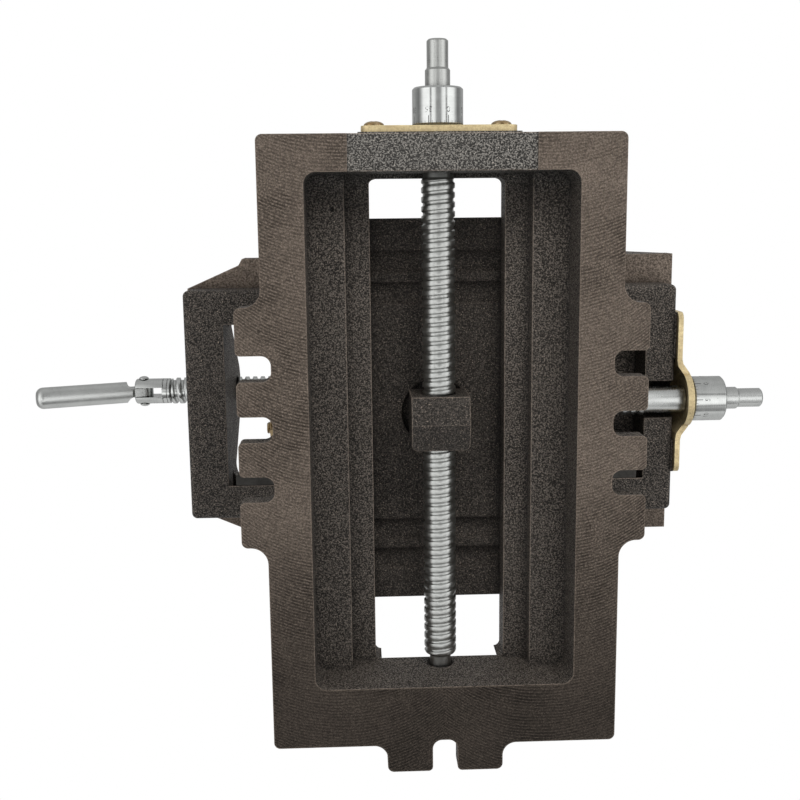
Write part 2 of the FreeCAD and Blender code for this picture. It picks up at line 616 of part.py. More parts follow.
def place(thing, direction, x, y, z):
    """Turn a piece drawn along +Z so that it points along direction, and place it."""
    turn = FreeCAD.Rotation(Vector(0, 0, 1), direction)
    thing.Placement = FreeCAD.Placement(Vector(), turn)
    bind(thing, x=x, y=y, z=z)


def pan_screw(name, size, head, rise, length):
    """A pan head screw along +Z, head above z = 0, its head's rim bevelled."""
    shank = solid("Cylinder", name + "_shank", Radius="%s / 2 - fit_gap" % size, Height=length,
                  z="-(%s)" % length)
    rim = solid("Cylinder", name + "_rim", Radius="%s / 2" % head, Height="%s / 2" % rise)
    crown = solid("Cone", name + "_crown", Radius1="%s / 2" % head, Radius2="%s / 2 - %s / 2" % (head, rise),
                  Height="%s / 2" % rise, z="%s / 2" % rise)
    made = doc.addObject("Part::MultiFuse", name)
    made.Shapes = [shank, rim, crown]
    return made


def flush_screw(name, size, head, length):
    """A countersunk screw along +Z with its head's top at z = 0."""
    sink = "(%s / 2 - %s / 2)" % (head, size)
    shank = solid("Cylinder", name + "_shank", Radius="%s / 2 - fit_gap" % size, Height=length,
                  z="-(%s)" % length)
    taper = solid("Cone", name + "_head", Radius1="%s / 2 - fit_gap" % size,
                  Radius2="%s / 2 - fit_gap" % head, Height=sink, z="-%s" % sink)
    made = doc.addObject("Part::MultiFuse", name)
    made.Shapes = [shank, taper]
    return made


def lock_nut(name):
    """A hexagon nut along +Z from z = 0, with a hole for the gib screw."""
    outside = solid("Prism", name + "_hexagon", Circumradius="lock_nut / sqrt(3)", Height="lock_nut_thick")
    outside.Polygon = 6
    hole = solid("Cylinder", name + "_hole", Radius="gib_screw / 2", Height="lock_nut_thick")
    made = doc.addObject("Part::Cut", name)
    made.Base = outside
    made.Tool = hole
    return made


def build_front_plate():
    """Flat brass plate with rounded ends over the front wall's pad, and its two screws."""
    plate = new_body("y_retainer_plate")
    levels = ("feed_level - front_plate_height / 2", "feed_level + front_plate_height / 2")
    block(plate, "Additive", both("front_plate_half"), (FRONT_PLATE, FRONT_PAD), levels)
    corners = [(x, z) for x in both("front_plate_half") for z in levels]
    round_edges(plate, "Fillet", along("y", *corners), "plate_round")
    rod(plate, "Subtractive", "y", "spindle_size / 2 + fit_gap", "front_plate_thick", "0", FRONT_PLATE,
        "feed_level")
    for x in both("front_screw_half"):
        rod(plate, "Subtractive", "y", "plate_screw / 2", "front_plate_thick", x, FRONT_PLATE, "feed_level")
    screws = []
    for number, x in enumerate(both("front_screw_half")):
        screw = pan_screw("front_screw_%d" % number, "plate_screw", "plate_screw_head", "plate_screw_rise",
                          "plate_screw_length")
        place(screw, Vector(0, -1, 0), x, FRONT_PLATE, "feed_level")
        screws.append(screw)
    group("y_retainer_screws", screws)


def build_saddle():
    """Saddle: legs and gib side below, cross dovetail and channel above, grooves underneath."""
    saddle = new_body("saddle", "rest_y")
    block(saddle, "Additive", both("saddle_half_x"), both("saddle_half_y"), (LEG_LOW, "saddle_skirt_level"))
    block(saddle, "Additive", both("saddle_half_x"), both("saddle_skirt_y"), (LEG_LOW, "cross_level"))
    corners = [(x, y) for x in both("saddle_half_x") for y in both("saddle_half_y")]
    round_edges(saddle, "Fillet", upright_at(*corners), "large_round")
    for y, z in (("saddle_skirt_y", "cross_level"), ("saddle_half_y", "saddle_skirt_level")):
        round_edges(saddle, "Fillet", along("x", *[(place_y, z) for place_y in both(y)]), "casting_round")

    front_top = "(cross_front + way_run)"
    rear_top = "(cross_rear + way_run)"
    extrude(saddle, "Pad", "YZ_Plane", [
        ("-cross_front", "cross_level - 1"), ("cross_rear", "cross_level - 1"), ("cross_rear", "cross_level"),
        (rear_top, "cross_top"), ("-%s" % front_top, "cross_top"), ("-cross_front", "cross_level")],
        "2 * cross_half_x")

    foot = "(way_foot + slide_gap)"
    top = flank(foot, "deck_level", "way_level", SADDLE_ROOF)
    side = "(gib_thick + slide_gap)"
    extrude(saddle, "Pocket", "XZ_Plane", [
        (foot, "deck_level"), (top, SADDLE_ROOF), ("-(%s + %s)" % (top, side), SADDLE_ROOF),
        ("-(%s + %s)" % (foot, side), "deck_level")], "2 * saddle_half_y")
    block(saddle, "Subtractive", both("saddle_half_x"), both("channel_half"), ("channel_floor", "cross_top"))

    for place_y in ("bead_place", "(bead_place + bead_pitch)"):
        for y in both(place_y):
            rod(saddle, "Subtractive", "x", "bead_radius", "2 * way_foot", "-way_foot", y,
                "%s + bead_depth - bead_radius" % SADDLE_ROOF)
    rod(saddle, "Subtractive", "z", "nut_well", "nut_well_depth", "0", "0", SADDLE_ROOF)
    rod(saddle, "Subtractive", "z", "nut_bolt / 2", "channel_floor - way_level", "0", "0", "way_level")
    for spot in gib_screw_places():
        rod(saddle, "Subtractive", "x", "gib_screw / 2", "saddle_half_x - way_foot", "-saddle_half_x", spot,
            "gib_screw_level")
    for x, y in x_nut_screw_places():
        rod(saddle, "Subtractive", "z", "x_nut_screw / 2", "x_nut_screw_depth", x, y,
            "channel_floor - x_nut_screw_depth")
    doc.recompute()
    return saddle


def gib_screw_places():
    return ["(gib_screw_middle %+d * gib_screw_pitch)" % step for step in (-1, 0, 1)]


def x_nut_screw_places():
    return [("(x_nut_place + %d * x_nut_screw_x)" % way, "(%d * x_nut_screw_y)" % way) for way in (-1, 1)]


def build_y_nut():
    """Y nut under the saddle: ridged block, stem in the well, bolt from the channel above."""
    nut = new_body("y_nut", "rest_y")
    extrude(nut, "Pad", "YZ_Plane", [
        ("-nut_half_y", "nut_low + nut_ridge_drop"), ("0", "nut_low"),
        ("nut_half_y", "nut_low + nut_ridge_drop"),
        ("nut_half_y", "nut_shoulder"), ("-nut_half_y", "nut_shoulder")], "2 * nut_half_x")
    corners = [(x, "nut_half_y") for x in both("nut_half_x")]
    round_edges(nut, "Fillet", upright_at(*corners), "casting_round")
    stem_top = "(%s + nut_well_depth)" % SADDLE_ROOF
    rod(nut, "Additive", "z", "nut_stem", "%s - nut_shoulder" % stem_top, "0", "0", "nut_shoulder")
    rod(nut, "Subtractive", "y", "thread_size / 2 + fit_gap", "2 * nut_half_y", "0", "-nut_half_y",
        "feed_level")
    rod(nut, "Subtractive", "z", "nut_bolt / 2", "%s - nut_bolt_reach" % stem_top, "0", "0", "nut_bolt_reach")
    doc.recompute()
    bolt = pan_screw("y_nut_bolt", "nut_bolt", "nut_bolt_head", "nut_bolt_rise",
                     "channel_floor - nut_bolt_reach")
    place(bolt, Vector(0, 0, 1), "0", "rest_y", "channel_floor")
    nodes.append(bolt)


def build_y_gib():
    """Tapered-side strip between the base's left way and the saddle, with its screws and lock nuts."""
    gib = new_body("y_gib", "rest_y")
    low = "(%s + slide_gap)" % LEG_LOW
    high = "way_level"
    inner = [flank("(way_foot + slide_gap)", "deck_level", "way_level", level) for level in (low, high)]
    extrude(gib, "Pad", "XZ_Plane", [
        ("-%s" % inner[0], low), ("-%s" % inner[1], high),
        ("-(%s + gib_thick)" % inner[1], high), ("-(%s + gib_thick)" % inner[0], low)],
        "2 * saddle_half_y - 4")
    seat = flank("(way_foot + slide_gap + gib_thick + fit_gap)", "deck_level", "way_level",
                 "(gib_screw_level + gib_screw / 2)")
    gib_hardware("y_gib", Vector(-1, 0, 0), "saddle_half_x", seat, "gib_screw_level", gib_screw_places())


def gib_hardware(label, outward, wall, seat, level, spots):
    """Gib screws from the gib's face out through the wall, and a lock nut on each."""
    screws = []
    nuts = []
    for number, spot in enumerate(spots):
        for kind, start, row in (("screw", seat, screws), ("lock_nut", wall, nuts)):
            name = "%s_%s_%d" % (label, kind, number)
            if kind == "screw":
                piece = solid("Cylinder", name, Radius="gib_screw / 2 - fit_gap",
                              Height="%s + gib_screw_proud - %s" % (wall, seat))
            else:
                piece = lock_nut(name)
            if outward.x:
                place(piece, outward, "-%s" % start, "rest_y + %s" % spot, level)
            else:
                place(piece, outward, spot, "rest_y + %s" % start, level)
            row.append(piece)
    group(label + "_screws", screws)
    group(label + "_lock_nuts", nuts)


def build_x_nut():
    """X nut in the saddle's channel, with a foot held by two cap screws."""
    nut = new_body("x_nut", "rest_y")
    foot_top = "(channel_floor + x_nut_foot_thick)"
    block(nut, "Additive", ("x_nut_place - x_nut_foot", "x_nut_place + x_nut_foot"), both("x_nut_half_y"),
          ("channel_floor", foot_top))
    block(nut, "Additive", ("x_nut_place - x_nut_half", "x_nut_place + x_nut_half"), both("x_nut_half_y"),
          ("channel_floor", "x_nut_top"))
    rod(nut, "Subtractive", "x", "thread_size / 2 + fit_gap", "2 * x_nut_half", "x_nut_place - x_nut_half",
        "0", "cross_feed_level")
    screws = []
    for number, (x, y) in enumerate(x_nut_screw_places()):
        rod(nut, "Subtractive", "z", "x_nut_screw / 2", "x_nut_foot_thick", x, y, "channel_floor")
        screw = pan_screw("x_nut_screw_%d" % number, "x_nut_screw", "x_nut_screw_head", "x_nut_screw_rise",
                          "x_nut_screw_length")
        place(screw, Vector(0, 0, 1), x, "rest_y + " + y, foot_top)
        screws.append(screw)
    doc.recompute()
    group("x_nut_screws", screws)


def x_gib_places():
    return ["((gib_left + gib_right) / 2 %+.1f * cross_gib_pitch)" % step for step in (-1.5, -0.5, 0.5, 1.5)]


def build_vise_body():
    """Rails with the upper dovetail, bed with the movable jaw's slot, lug, fixed jaw and end walls."""
    body = new_body("vise_body", "rest_y")
    block(body, "Additive", ("body_left", "body_right"), both("rail_half"), (RAIL_LEVEL, "bed_level - 1"))
    lower = [(x, y) for x in ("body_left", "body_right") for y in both("rail_half")]
    round_edges(body, "Fillet", upright_at(*lower), "casting_round")
    edges = along("x", *[(y, RAIL_LEVEL) for y in both("rail_half")])
    round_edges(body, "Fillet", edges, "casting_round")
    extrude(body, "Pad", "XY_Plane", [
        ("body_left", "-rail_half"), ("shoulder_x", "-shoulder_half"),
        ("shoulder_x + shoulder_step", "-bed_half"), ("bed_right", "-bed_half"), ("bed_right", "bed_half"),
        ("shoulder_x + shoulder_step", "bed_half"), ("shoulder_x", "shoulder_half"),
        ("body_left", "rail_half")], "bed_level - bed_under", "(bed_level + bed_under) / 2")
    shoulders = [(x, y) for x, half in (("shoulder_x", "shoulder_half"),
                                        ("shoulder_x + shoulder_step", "bed_half")) for y in both(half)]
    round_edges(body, "Fillet", upright_at(*shoulders), "shoulder_step / 2")

    reach = "(lug_foot * lug_foot + (vise_level - bed_level) * (vise_level - bed_level))"
    share = "(lug_radius * sqrt(%s - lug_radius * lug_radius) / %s)" % (reach, reach)
    square = "(lug_radius * lug_radius / %s)" % reach
    tangent_y = "(%s * lug_foot + %s * (vise_level - bed_level))" % (square, share)
    tangent_z = "(vise_level - %s * (vise_level - bed_level) + %s * lug_foot)" % (square, share)
    extrude(body, "Pad", "YZ_Plane", [
        ("-lug_foot", "bed_level - 1"), ("lug_foot", "bed_level - 1"), ("lug_foot", "bed_level"),
        (tangent_y, tangent_z), ("-%s" % tangent_y, tangent_z), ("-lug_foot", "bed_level")],
        "left_wall", "body_left + left_wall / 2")
    rod(body, "Additive", "x", "lug_radius", "left_wall", "body_left", "0", "vise_level")

    extrude(body, "Pad", "XZ_Plane", [
        (FIXED_BLOCK, "bed_level - 1"), ("bed_right", "bed_level - 1"),
        ("bed_right", "bed_level + jaw_back_foot"), ("(%s + jaw_top_depth)" % FIXED_BLOCK, "jaw_level"),
        (FIXED_BLOCK, "jaw_level")], "2 * " + JAW_HALF)
    back = along("y", ("bed_right", "bed_level + jaw_back_foot"),
                 ("%s + jaw_top_depth" % FIXED_BLOCK, "jaw_level"))
    round_edges(body, "Fillet", back, "large_round")
    for across in (("-dished_front", "-dish_foot"), ("dish_foot", "dished_rear")):
        block(body, "Additive", ("body_right - 1", RIGHT_PAD), across, (RAIL_LEVEL, "dished_high"))

    front = "(cross_front + slide_gap)"
    extrude(body, "Pocket", "YZ_Plane", [
        ("-%s" % front, "cross_level"),
        ("-%s" % flank(front, "cross_level", "cross_top", "cross_top"), "cross_top"),
        ("-cavity_half", "cross_top"), ("-cavity_half", "ledge_level"), ("cavity_half", "ledge_level"),
        ("cavity_half", "cross_top"),
        (flank(RAIL_REAR, "cross_level", "cross_top", "cross_top"), "cross_top"),
        (RAIL_REAR, "cross_level")],
        "%s - %s" % (RIGHT_INNER, LEFT_INNER), "(%s + %s) / 2" % (LEFT_INNER, RIGHT_INNER))
    block(body, "Subtractive", (LEFT_INNER, "bed_slot_end"), both("bed_slot_half"),
          ("ledge_level - 1", "bed_level"))
    slot = [(x, y) for x in (LEFT_INNER, "bed_slot_end") for y in both("bed_slot_half")]
    round_edges(body, "Fillet", upright_at(*slot), "bed_slot_corner")

    block(body, "Subtractive", (RIGHT_INNER, RIGHT_PAD), both("notch_half"),
          ("cross_level", "cross_feed_level"))
    rod(body, "Subtractive", "x", "notch_half", "%s - %s" % (RIGHT_PAD, RIGHT_INNER), RIGHT_INNER, "0",
        "cross_feed_level")
    rod(body, "Subtractive", "x", "vise_thread / 2 + fit_gap", "left_wall", "body_left", "0", "vise_level")
    depth = "(plate_screw_length - dished_thick + jaw_hole_spare)"
    for y in DISHED_SCREWS:
        rod(body, "Subtractive", "x", "plate_screw / 2", depth, "%s - %s" % (RIGHT_PAD, depth), y,
            "dished_screw_level")
    for y in both("jaw_screw_half"):
        rod(body, "Subtractive", "x", "jaw_screw / 2", "jaw_screw_length - jaw_plate + jaw_hole_spare",
            FIXED_BLOCK, y, "jaw_screw_level")
    for x in x_gib_places():
        rod(body, "Subtractive", "y", "gib_screw / 2", "rail_half - cross_rear", x, "cross_rear",
            "cross_gib_level")
    doc.recompute()


def build_x_gib():
    """Strip between the saddle's rear flank and the vise body's rear rail."""
    gib = new_body("x_gib", "rest_y")
    low = "(cross_level + 2 * slide_gap)"
    inner = [flank("(cross_rear + slide_gap)", "cross_level", "cross_top", level)
             for level in (low, "cross_top")]
    extrude(gib, "Pad", "YZ_Plane", [
        (inner[0], low), ("(%s + gib_thick)" % inner[0], low), ("(%s + gib_thick)" % inner[1], "cross_top"),
        (inner[1], "cross_top")], "gib_right - gib_left", "(gib_left + gib_right) / 2")
    seat = flank("(cross_rear + slide_gap + gib_thick + fit_gap)", "cross_level", "cross_top",
                 "(cross_gib_level + gib_screw / 2)")
    gib_hardware("x_gib", Vector(0, 1, 0), "rail_half", seat, "cross_gib_level", x_gib_places())


def build_dished_plate():
    """Brass plate with a lobe, dished outwards around the X lead screw's shoulder, and its two screws.

    The dish is a sheet turned about the screw's axis; the plate is what it has in common with a flat
    outline of arms and lobe.
    """
    sheet_body = doc.addObject("PartDesign::Body", "dished_sheet")
    sketch = new_sketch(sheet_body, "XZ_Plane")
    draw_outline(sketch, [
        (DISH_INNER, "0"), (DISH_FACE, "0"), (DISH_FACE, "dish_top"),
        ("(%s - dish_rise / 8)" % DISH_FACE, "(dish_top + (dish_foot - dish_top) / 4)"),
        ("(%s + dish_rise / 8)" % RIGHT_PLATE, "(dish_foot - (dish_foot - dish_top) / 4)"),
        (RIGHT_PLATE, "dish_foot"), (RIGHT_PLATE, "2 * dished_front"), (RIGHT_PAD, "2 * dished_front"),
        (RIGHT_PAD, "dish_foot - dished_thick / 4"),
        ("(%s + dish_rise / 8)" % RIGHT_PAD, "(dish_foot - (dish_foot - dish_top) / 4 - dished_thick / 2)"),
        ("(%s - dish_rise / 8)" % DISH_INNER, "(dish_top + (dish_foot - dish_top) / 4 - dished_thick / 2)"),
        (DISH_INNER, "dish_top - dished_thick / 4")])
    turning = sheet_body.newObject("PartDesign::Revolution", "turning")
    turning.Profile = sketch
    turning.ReferenceAxis = (sketch, ["H_Axis"])
    turning.Angle = 360
    bind(sheet_body, y="rest_y", z="cross_feed_level")

    outline = doc.addObject("PartDesign::Body", "dished_outline")
    bind(outline, y="rest_y")
    ends = ("-dished_front", "dished_rear")
    levels = ("dished_low", "dished_high")
    block(outline, "Additive", (RIGHT_PAD, DISH_FACE), ends, levels)
    round_edges(outline, "Fillet", along("x", *[(y, z) for y in ends for z in levels]), "plate_round")
    deep = "%s - %s" % (DISH_FACE, RIGHT_PAD)
    rod(outline, "Additive", "x", "dished_lobe", deep, RIGHT_PAD, "0", "cross_feed_level")
    rod(outline, "Subtractive", "x", "spindle_size / 2 + fit_gap", deep, RIGHT_PAD, "0", "cross_feed_level")
    screws = []
    for number, y in enumerate(DISHED_SCREWS):
        rod(outline, "Subtractive", "x", "plate_screw / 2", deep, RIGHT_PAD, y, "dished_screw_level")
        screw = pan_screw("dished_screw_%d" % number, "plate_screw", "plate_screw_head", "plate_screw_rise",
                          "plate_screw_length")
        place(screw, Vector(1, 0, 0), RIGHT_PLATE, "rest_y + " + y, "dished_screw_level")
        screws.append(screw)
    doc.recompute()
    plate = doc.addObject("Part::MultiCommon", "x_retainer_plate")
    plate.Shapes = [sheet_body, outline]
    doc.recompute()
    nodes.append(plate)
    group("x_retainer_screws", screws)


def build_jaw_plate(label, way, face, back):
    """Hardened jaw plate with two countersunk screws; way is the direction its face looks."""
    plate = new_body(label + "_plate", "rest_y")
    ends = (face, back) if way < 0 else (back, face)
    block(plate, "Additive", ends, both(JAW_HALF), ("jaw_plate_low", "jaw_plate_high"))
    sink = "(jaw_screw_head / 2 - jaw_screw / 2)"
    screws = []
    for number, y in enumerate(both("jaw_screw_half")):
        rod(plate, "Subtractive", "x", "jaw_screw / 2", "jaw_plate", ends[0], y, "jaw_screw_level")
        if way < 0:
            cone(plate, "Subtractive", "x", "jaw_screw_head / 2", "jaw_screw / 2", sink, face, y,
                 "jaw_screw_level")
        else:
            cone(plate, "Subtractive", "x", "jaw_screw / 2", "jaw_screw_head / 2", sink,
                 "%s - %s" % (face, sink),
                 y, "jaw_screw_level")
        screw = flush_screw("%s_screw_%d" % (label, number), "jaw_screw", "jaw_screw_head",
                            "jaw_screw_length")
        place(screw, Vector(way, 0, 0), face, "rest_y + " + y, "jaw_screw_level")
        screws.append(screw)
    doc.recompute()
    group(label + "_screws", screws)
    return plate


def cut_vee_grooves(plate):
    """A level and an upright V groove in the moving plate's face, for round work."""
    extrude(plate, "Pocket", "XZ_Plane", [
        (MOVING_FACE, "vee_level - vee_depth"), (MOVING_FACE, "vee_level + vee_depth"),
        ("(%s - vee_depth)" % MOVING_FACE, "vee_level")], "2 * " + JAW_HALF)
    extrude(plate, "Pocket", "XY_Plane", [
        (MOVING_FACE, "-vee_depth"), (MOVING_FACE, "vee_depth"), ("(%s - vee_depth)" % MOVING_FACE, "0")],
        "jaw_plate_high - jaw_plate_low", "(jaw_plate_high + jaw_plate_low) / 2")


def build_movable_jaw():
    """Movable jaw: face wall, foot on the bed, boss for the vise screw, tongue in the bed's slot."""
    jaw = new_body("movable_jaw", "rest_y")
    wall = "(%s - jaw_top_depth)" % MOVING_BLOCK
    block(jaw, "Additive", (wall, MOVING_BLOCK), both(JAW_HALF), (JAW_LOW, "jaw_level"))
    block(jaw, "Additive", (MOVING_BACK, MOVING_BLOCK), both(JAW_HALF), (JAW_LOW, "bed_level + jaw_wing"))
    corners = [(MOVING_BACK, y) for y in both(JAW_HALF)]
    round_edges(jaw, "Fillet", upright_at(*corners), "large_round")
    round_edges(jaw, "Fillet", along("y", (wall, "jaw_level"), (wall, "bed_level + jaw_wing")), "large_round")
    block(jaw, "Additive", (MOVING_BACK, MOVING_BLOCK), both("jaw_boss"), (JAW_LOW, "vise_level"))
    rod(jaw, "Additive", "x", "jaw_boss", "jaw_foot_depth", MOVING_BACK, "0", "vise_level")
    block(jaw, "Additive", ("%s - keeper_half_x" % KEEPER_MIDDLE, "%s + keeper_half_x" % KEEPER_MIDDLE),
          both("bed_slot_half - tongue_gap"), (KEEPER_TOP, "bed_level + 1"))
    rod(jaw, "Subtractive", "x", "nose_size / 2 + fit_gap", "nose_length + 2 * face_gap", MOVING_BACK, "0",
        "vise_level")
    for y in both("jaw_screw_half"):
        depth = "(jaw_screw_length - jaw_plate + jaw_hole_spare)"
        rod(jaw, "Subtractive", "x", "jaw_screw / 2", depth, "%s - %s" % (MOVING_BLOCK, depth), y,
            "jaw_screw_level")
    for y in both("horseshoe_screw_y"):
        rod(jaw, "Subtractive", "x", "horseshoe_screw / 2",
            "horseshoe_screw_length - horseshoe_thick + jaw_hole_spare", MOVING_BACK, y,
            "vise_level - horseshoe_screw_drop")
    for y in both("keeper_screw_y"):
        rod(jaw, "Subtractive", "z", "keeper_screw / 2",
            "keeper_screw_length - keeper_thick + jaw_hole_spare",
            KEEPER_MIDDLE, y, KEEPER_TOP)
    doc.recompute()


def build_keeper():
    """Plate under the bed that holds the movable jaw down, with two flush screws from below."""
    plate = new_body("keeper_plate", "rest_y")
    ends = ("(%s - keeper_half_x)" % KEEPER_MIDDLE, "(%s + keeper_half_x)" % KEEPER_MIDDLE)
    half = "(cavity_half - tongue_gap)"
    block(plate, "Additive", ends, both(half), (KEEPER_LOW, KEEPER_TOP))
    round_edges(plate, "Fillet", upright_at(*[(x, y) for x in ends for y in both(half)]), "casting_round")
    screws = []
    for number, y in enumerate(both("keeper_screw_y")):
        rod(plate, "Subtractive", "z", "keeper_screw / 2", "keeper_thick", KEEPER_MIDDLE, y, KEEPER_LOW)
        cone(plate, "Subtractive", "z", "keeper_screw_head / 2", "keeper_screw / 2",
             "keeper_screw_head / 2 - keeper_screw / 2", KEEPER_MIDDLE, y, KEEPER_LOW)
        screw = flush_screw("keeper_screw_%d" % number, "keeper_screw", "keeper_screw_head",
                            "keeper_screw_length")
        place(screw, Vector(0, 0, -1), KEEPER_MIDDLE, "rest_y + " + y, KEEPER_LOW)
        screws.append(screw)
    doc.recompute()
    group("keeper_screws", screws)


def build_horseshoe():
    """Plate with an open slot that holds the vise screw's neck to the movable jaw."""
    plate = new_body("horseshoe_plate", "rest_y")
    ends = ("(%s - horseshoe_thick)" % MOVING_BACK, MOVING_BACK)
    levels = ("(vise_level - horseshoe_drop)", "(vise_level + horseshoe_rise)")
    block(plate, "Additive", ends, both("horseshoe_half"), levels)
    corners = [(y, z) for y in both("horseshoe_half") for z in levels]
    round_edges(plate, "Fillet", along("x", *corners), "casting_round")
    slot = "(neck_size / 2 + 2 * fit_gap)"
    rod(plate, "Subtractive", "x", slot, "horseshoe_thick", ends[0], "0", "vise_level")
    block(plate, "Subtractive", ends, both(slot), ("vise_level", levels[1]))
    screws = []
    for number, y in enumerate(both("horseshoe_screw_y")):
        level = "vise_level - horseshoe_screw_drop"
        rod(plate, "Subtractive", "x", "horseshoe_screw / 2", "horseshoe_thick", ends[0], y, level)
        screw = pan_screw("horseshoe_screw_%d" % number, "horseshoe_screw", "horseshoe_screw_head",
                          "horseshoe_screw_rise", "horseshoe_screw_length")
        place(screw, Vector(-1, 0, 0), ends[0], "rest_y + " + y, level)
        screws.append(screw)
    doc.recompute()
    group("horseshoe_screws", screws)


def build_vise_screw():
    """Vise screw: slotted fork outside, thread, neck for the horseshoe plate, nose in the jaw."""
    end = "(%s - horseshoe_thick - face_gap)" % MOVING_BACK
    nose = "(%s + face_gap)" % MOVING_BACK
    tip = "(%s + nose_length)" % nose
    radius = "vise_thread / 2"
    screw = turned("vise_screw", "XZ_Plane", [
        ("fork_end", "0"), ("fork_end", "fork_size / 2 - fork_bevel"),
        ("fork_end + fork_bevel", "fork_size / 2"),
        ("fork_start", "fork_size / 2"), ("fork_start", radius), ("(%s - thread_bevel)" % end, radius),
        (end, "%s - thread_bevel" % radius), (end, "neck_size / 2"), (nose, "neck_size / 2"),
        (nose, "nose_size / 2"), ("(%s - crank_bevel)" % tip, "nose_size / 2"),
        (tip, "nose_size / 2 - crank_bevel"), (tip, "0")], "rest_y", "vise_level")
    block(screw, "Subtractive", ("fork_end", "fork_end + fork_slot_depth"), both("fork_slot / 2"),
          both("fork_size / 2"))
    rod(screw, "Subtractive", "y", "hinge_pin / 2 + fit_gap", "fork_size", "hinge_x", "-fork_size / 2", "0")
    doc.recompute()


def build_hinge_pin():
    """Riveted pin across the fork, a rounded head on each side."""
    seat = "(fork_size / 2)"
    tip = "(fork_size / 2 + hinge_head_rise)"
    shoulder = "(hinge_head / 2 - hinge_head_rise / 2)"
    half = [(tip, "0"), (tip, shoulder), ("(%s + hinge_head_rise / 2)" % seat, "hinge_head / 2"),
            (seat, "hinge_head / 2"), (seat, "hinge_pin / 2")]
    other = [("-%s" % along_pin, out) for along_pin, out in reversed(half)]
    pin = turned("hinge_pin", "YZ_Plane", half + other, "rest_y", "vise_level")
    bind(pin, x="hinge_x")


def build_handle():
    """Folding handle: flat tongue on the hinge pin and a round bar, drawn level and then lowered."""
    handle = new_body("handle_bar", "rest_y")
    handle.Placement = FreeCAD.Placement(Vector(), FreeCAD.Rotation(Vector(0, 1, 0), -value("handle_droop")))
    bind(handle, x="hinge_x", z="vise_level")
    handle.setExpression("Placement.Rotation.Angle", cells("-handle_droop"))
    half_round = "bar_round * (1 - sqrt(0.5))"
    sketch = new_sketch(handle, "XZ_Plane")
    draw_outline(sketch, [
        ("-bar_end", "0"), ("-bar_end", "bar_size / 2 - bar_round"),
        ("-bar_end + %s" % half_round, "bar_size / 2 - %s" % half_round),
        ("-bar_end + bar_round", "bar_size / 2"), ("-bar_start - crank_bevel", "bar_size / 2"),
        ("-bar_start", "bar_size / 2 - crank_bevel"), ("-bar_start", "0")])
    turning = handle.newObject("PartDesign::Revolution", "turning")
    turning.Profile = sketch
    turning.ReferenceAxis = (sketch, ["H_Axis"])
    turning.Angle = 360
    block(handle, "Additive", ("-bar_start - 1", "0"), both("tongue_thick / 2"), both("tongue_height / 2"))
    rod(handle, "Additive", "y", "tongue_height / 2", "tongue_thick", "0", "-tongue_thick / 2", "0")
    rod(handle, "Subtractive", "y", "hinge_pin / 2 + fit_gap", "tongue_thick", "0", "-tongue_thick / 2", "0")
    doc.recompute()


build_base()
build_front_plate()
build_y_screw()
build_collar("y_dial_collar", "YZ_Plane", -1, FRONT_PLATE, "0", "feed_level")
build_saddle()
build_y_nut()
build_y_gib()
build_x_nut()
build_vise_body()
build_x_gib()
build_dished_plate()
build_x_screw()
build_collar("x_dial_collar", "XZ_Plane", 1, DISH_FACE, "rest_y", "cross_feed_level")
build_jaw_plate("fixed_jaw", -1, "fixed_face", FIXED_BLOCK)
build_movable_jaw()
cut_vee_grooves(build_jaw_plate("movable_jaw", 1, MOVING_FACE, MOVING_BLOCK))
build_keeper()
build_horseshoe()
build_vise_screw()
build_hinge_pin()
build_handle()
doc.recompute()

# Nothing is written unless every object and every piece is sound
failed = [item.Label for item in doc.Objects if "Invalid" in item.State or "Error" in item.State]
failed += [node.Label for node in nodes
           if node.Shape.isNull() or not node.Shape.isValid() or not node.Shape.Solids]
if failed:
    raise RuntimeError("not sound: " + ", ".join(failed))
for node in nodes:
    node.Shape.exportStep("parts/%s.step" % node.Label)
    print(node.Label, len(node.Shape.Solids), round(node.Shape.Volume))
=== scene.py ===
"""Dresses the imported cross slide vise: turned, threaded and cast surfaces, its hardware, a plain stage and
a camera that looks up at the base. Lengths in the piece code are millimetres of the CAD frame and become
metres in the mesh."""

import math

import bmesh
import bpy
import numpy as np
from bpy.props import FloatProperty, FloatVectorProperty, IntProperty, PointerProperty
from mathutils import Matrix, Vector


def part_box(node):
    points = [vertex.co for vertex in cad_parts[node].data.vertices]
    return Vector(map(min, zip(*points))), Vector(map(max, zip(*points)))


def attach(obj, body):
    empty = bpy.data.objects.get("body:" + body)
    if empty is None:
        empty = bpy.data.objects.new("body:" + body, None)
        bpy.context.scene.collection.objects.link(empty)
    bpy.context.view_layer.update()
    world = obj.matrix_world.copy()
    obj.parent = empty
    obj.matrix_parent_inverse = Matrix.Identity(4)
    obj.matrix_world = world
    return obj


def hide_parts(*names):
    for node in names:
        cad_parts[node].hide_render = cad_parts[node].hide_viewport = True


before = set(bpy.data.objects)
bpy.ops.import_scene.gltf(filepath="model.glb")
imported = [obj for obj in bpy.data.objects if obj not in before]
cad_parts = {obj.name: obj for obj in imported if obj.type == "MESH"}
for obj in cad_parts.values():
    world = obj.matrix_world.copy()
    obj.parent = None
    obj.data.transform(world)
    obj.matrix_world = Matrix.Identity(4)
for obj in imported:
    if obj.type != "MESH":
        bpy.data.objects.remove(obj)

bl_info = {
    "name": "Cross Slide Vise Dressing",
    "version": (1, 0, 0),
    "blender": (4, 5, 0),
    "location": "3D View > Sidebar > Vise",
    "description": "Finishes, threads, screws, dials and stage for a cross slide vise",
    "category": "Object",
}

MM = 0.001
UP, DOWN = 1, -1
# Heights of the three screws, the vise body's middle at rest, the handle's rivet and its slope in degrees
FEED_Z, CROSS_Z, JAW_Z = 30.0, 78.0, 135.0
REST_Y = -10.0
RIVET_X = -162.4
HANDLE_TILT = 20.6
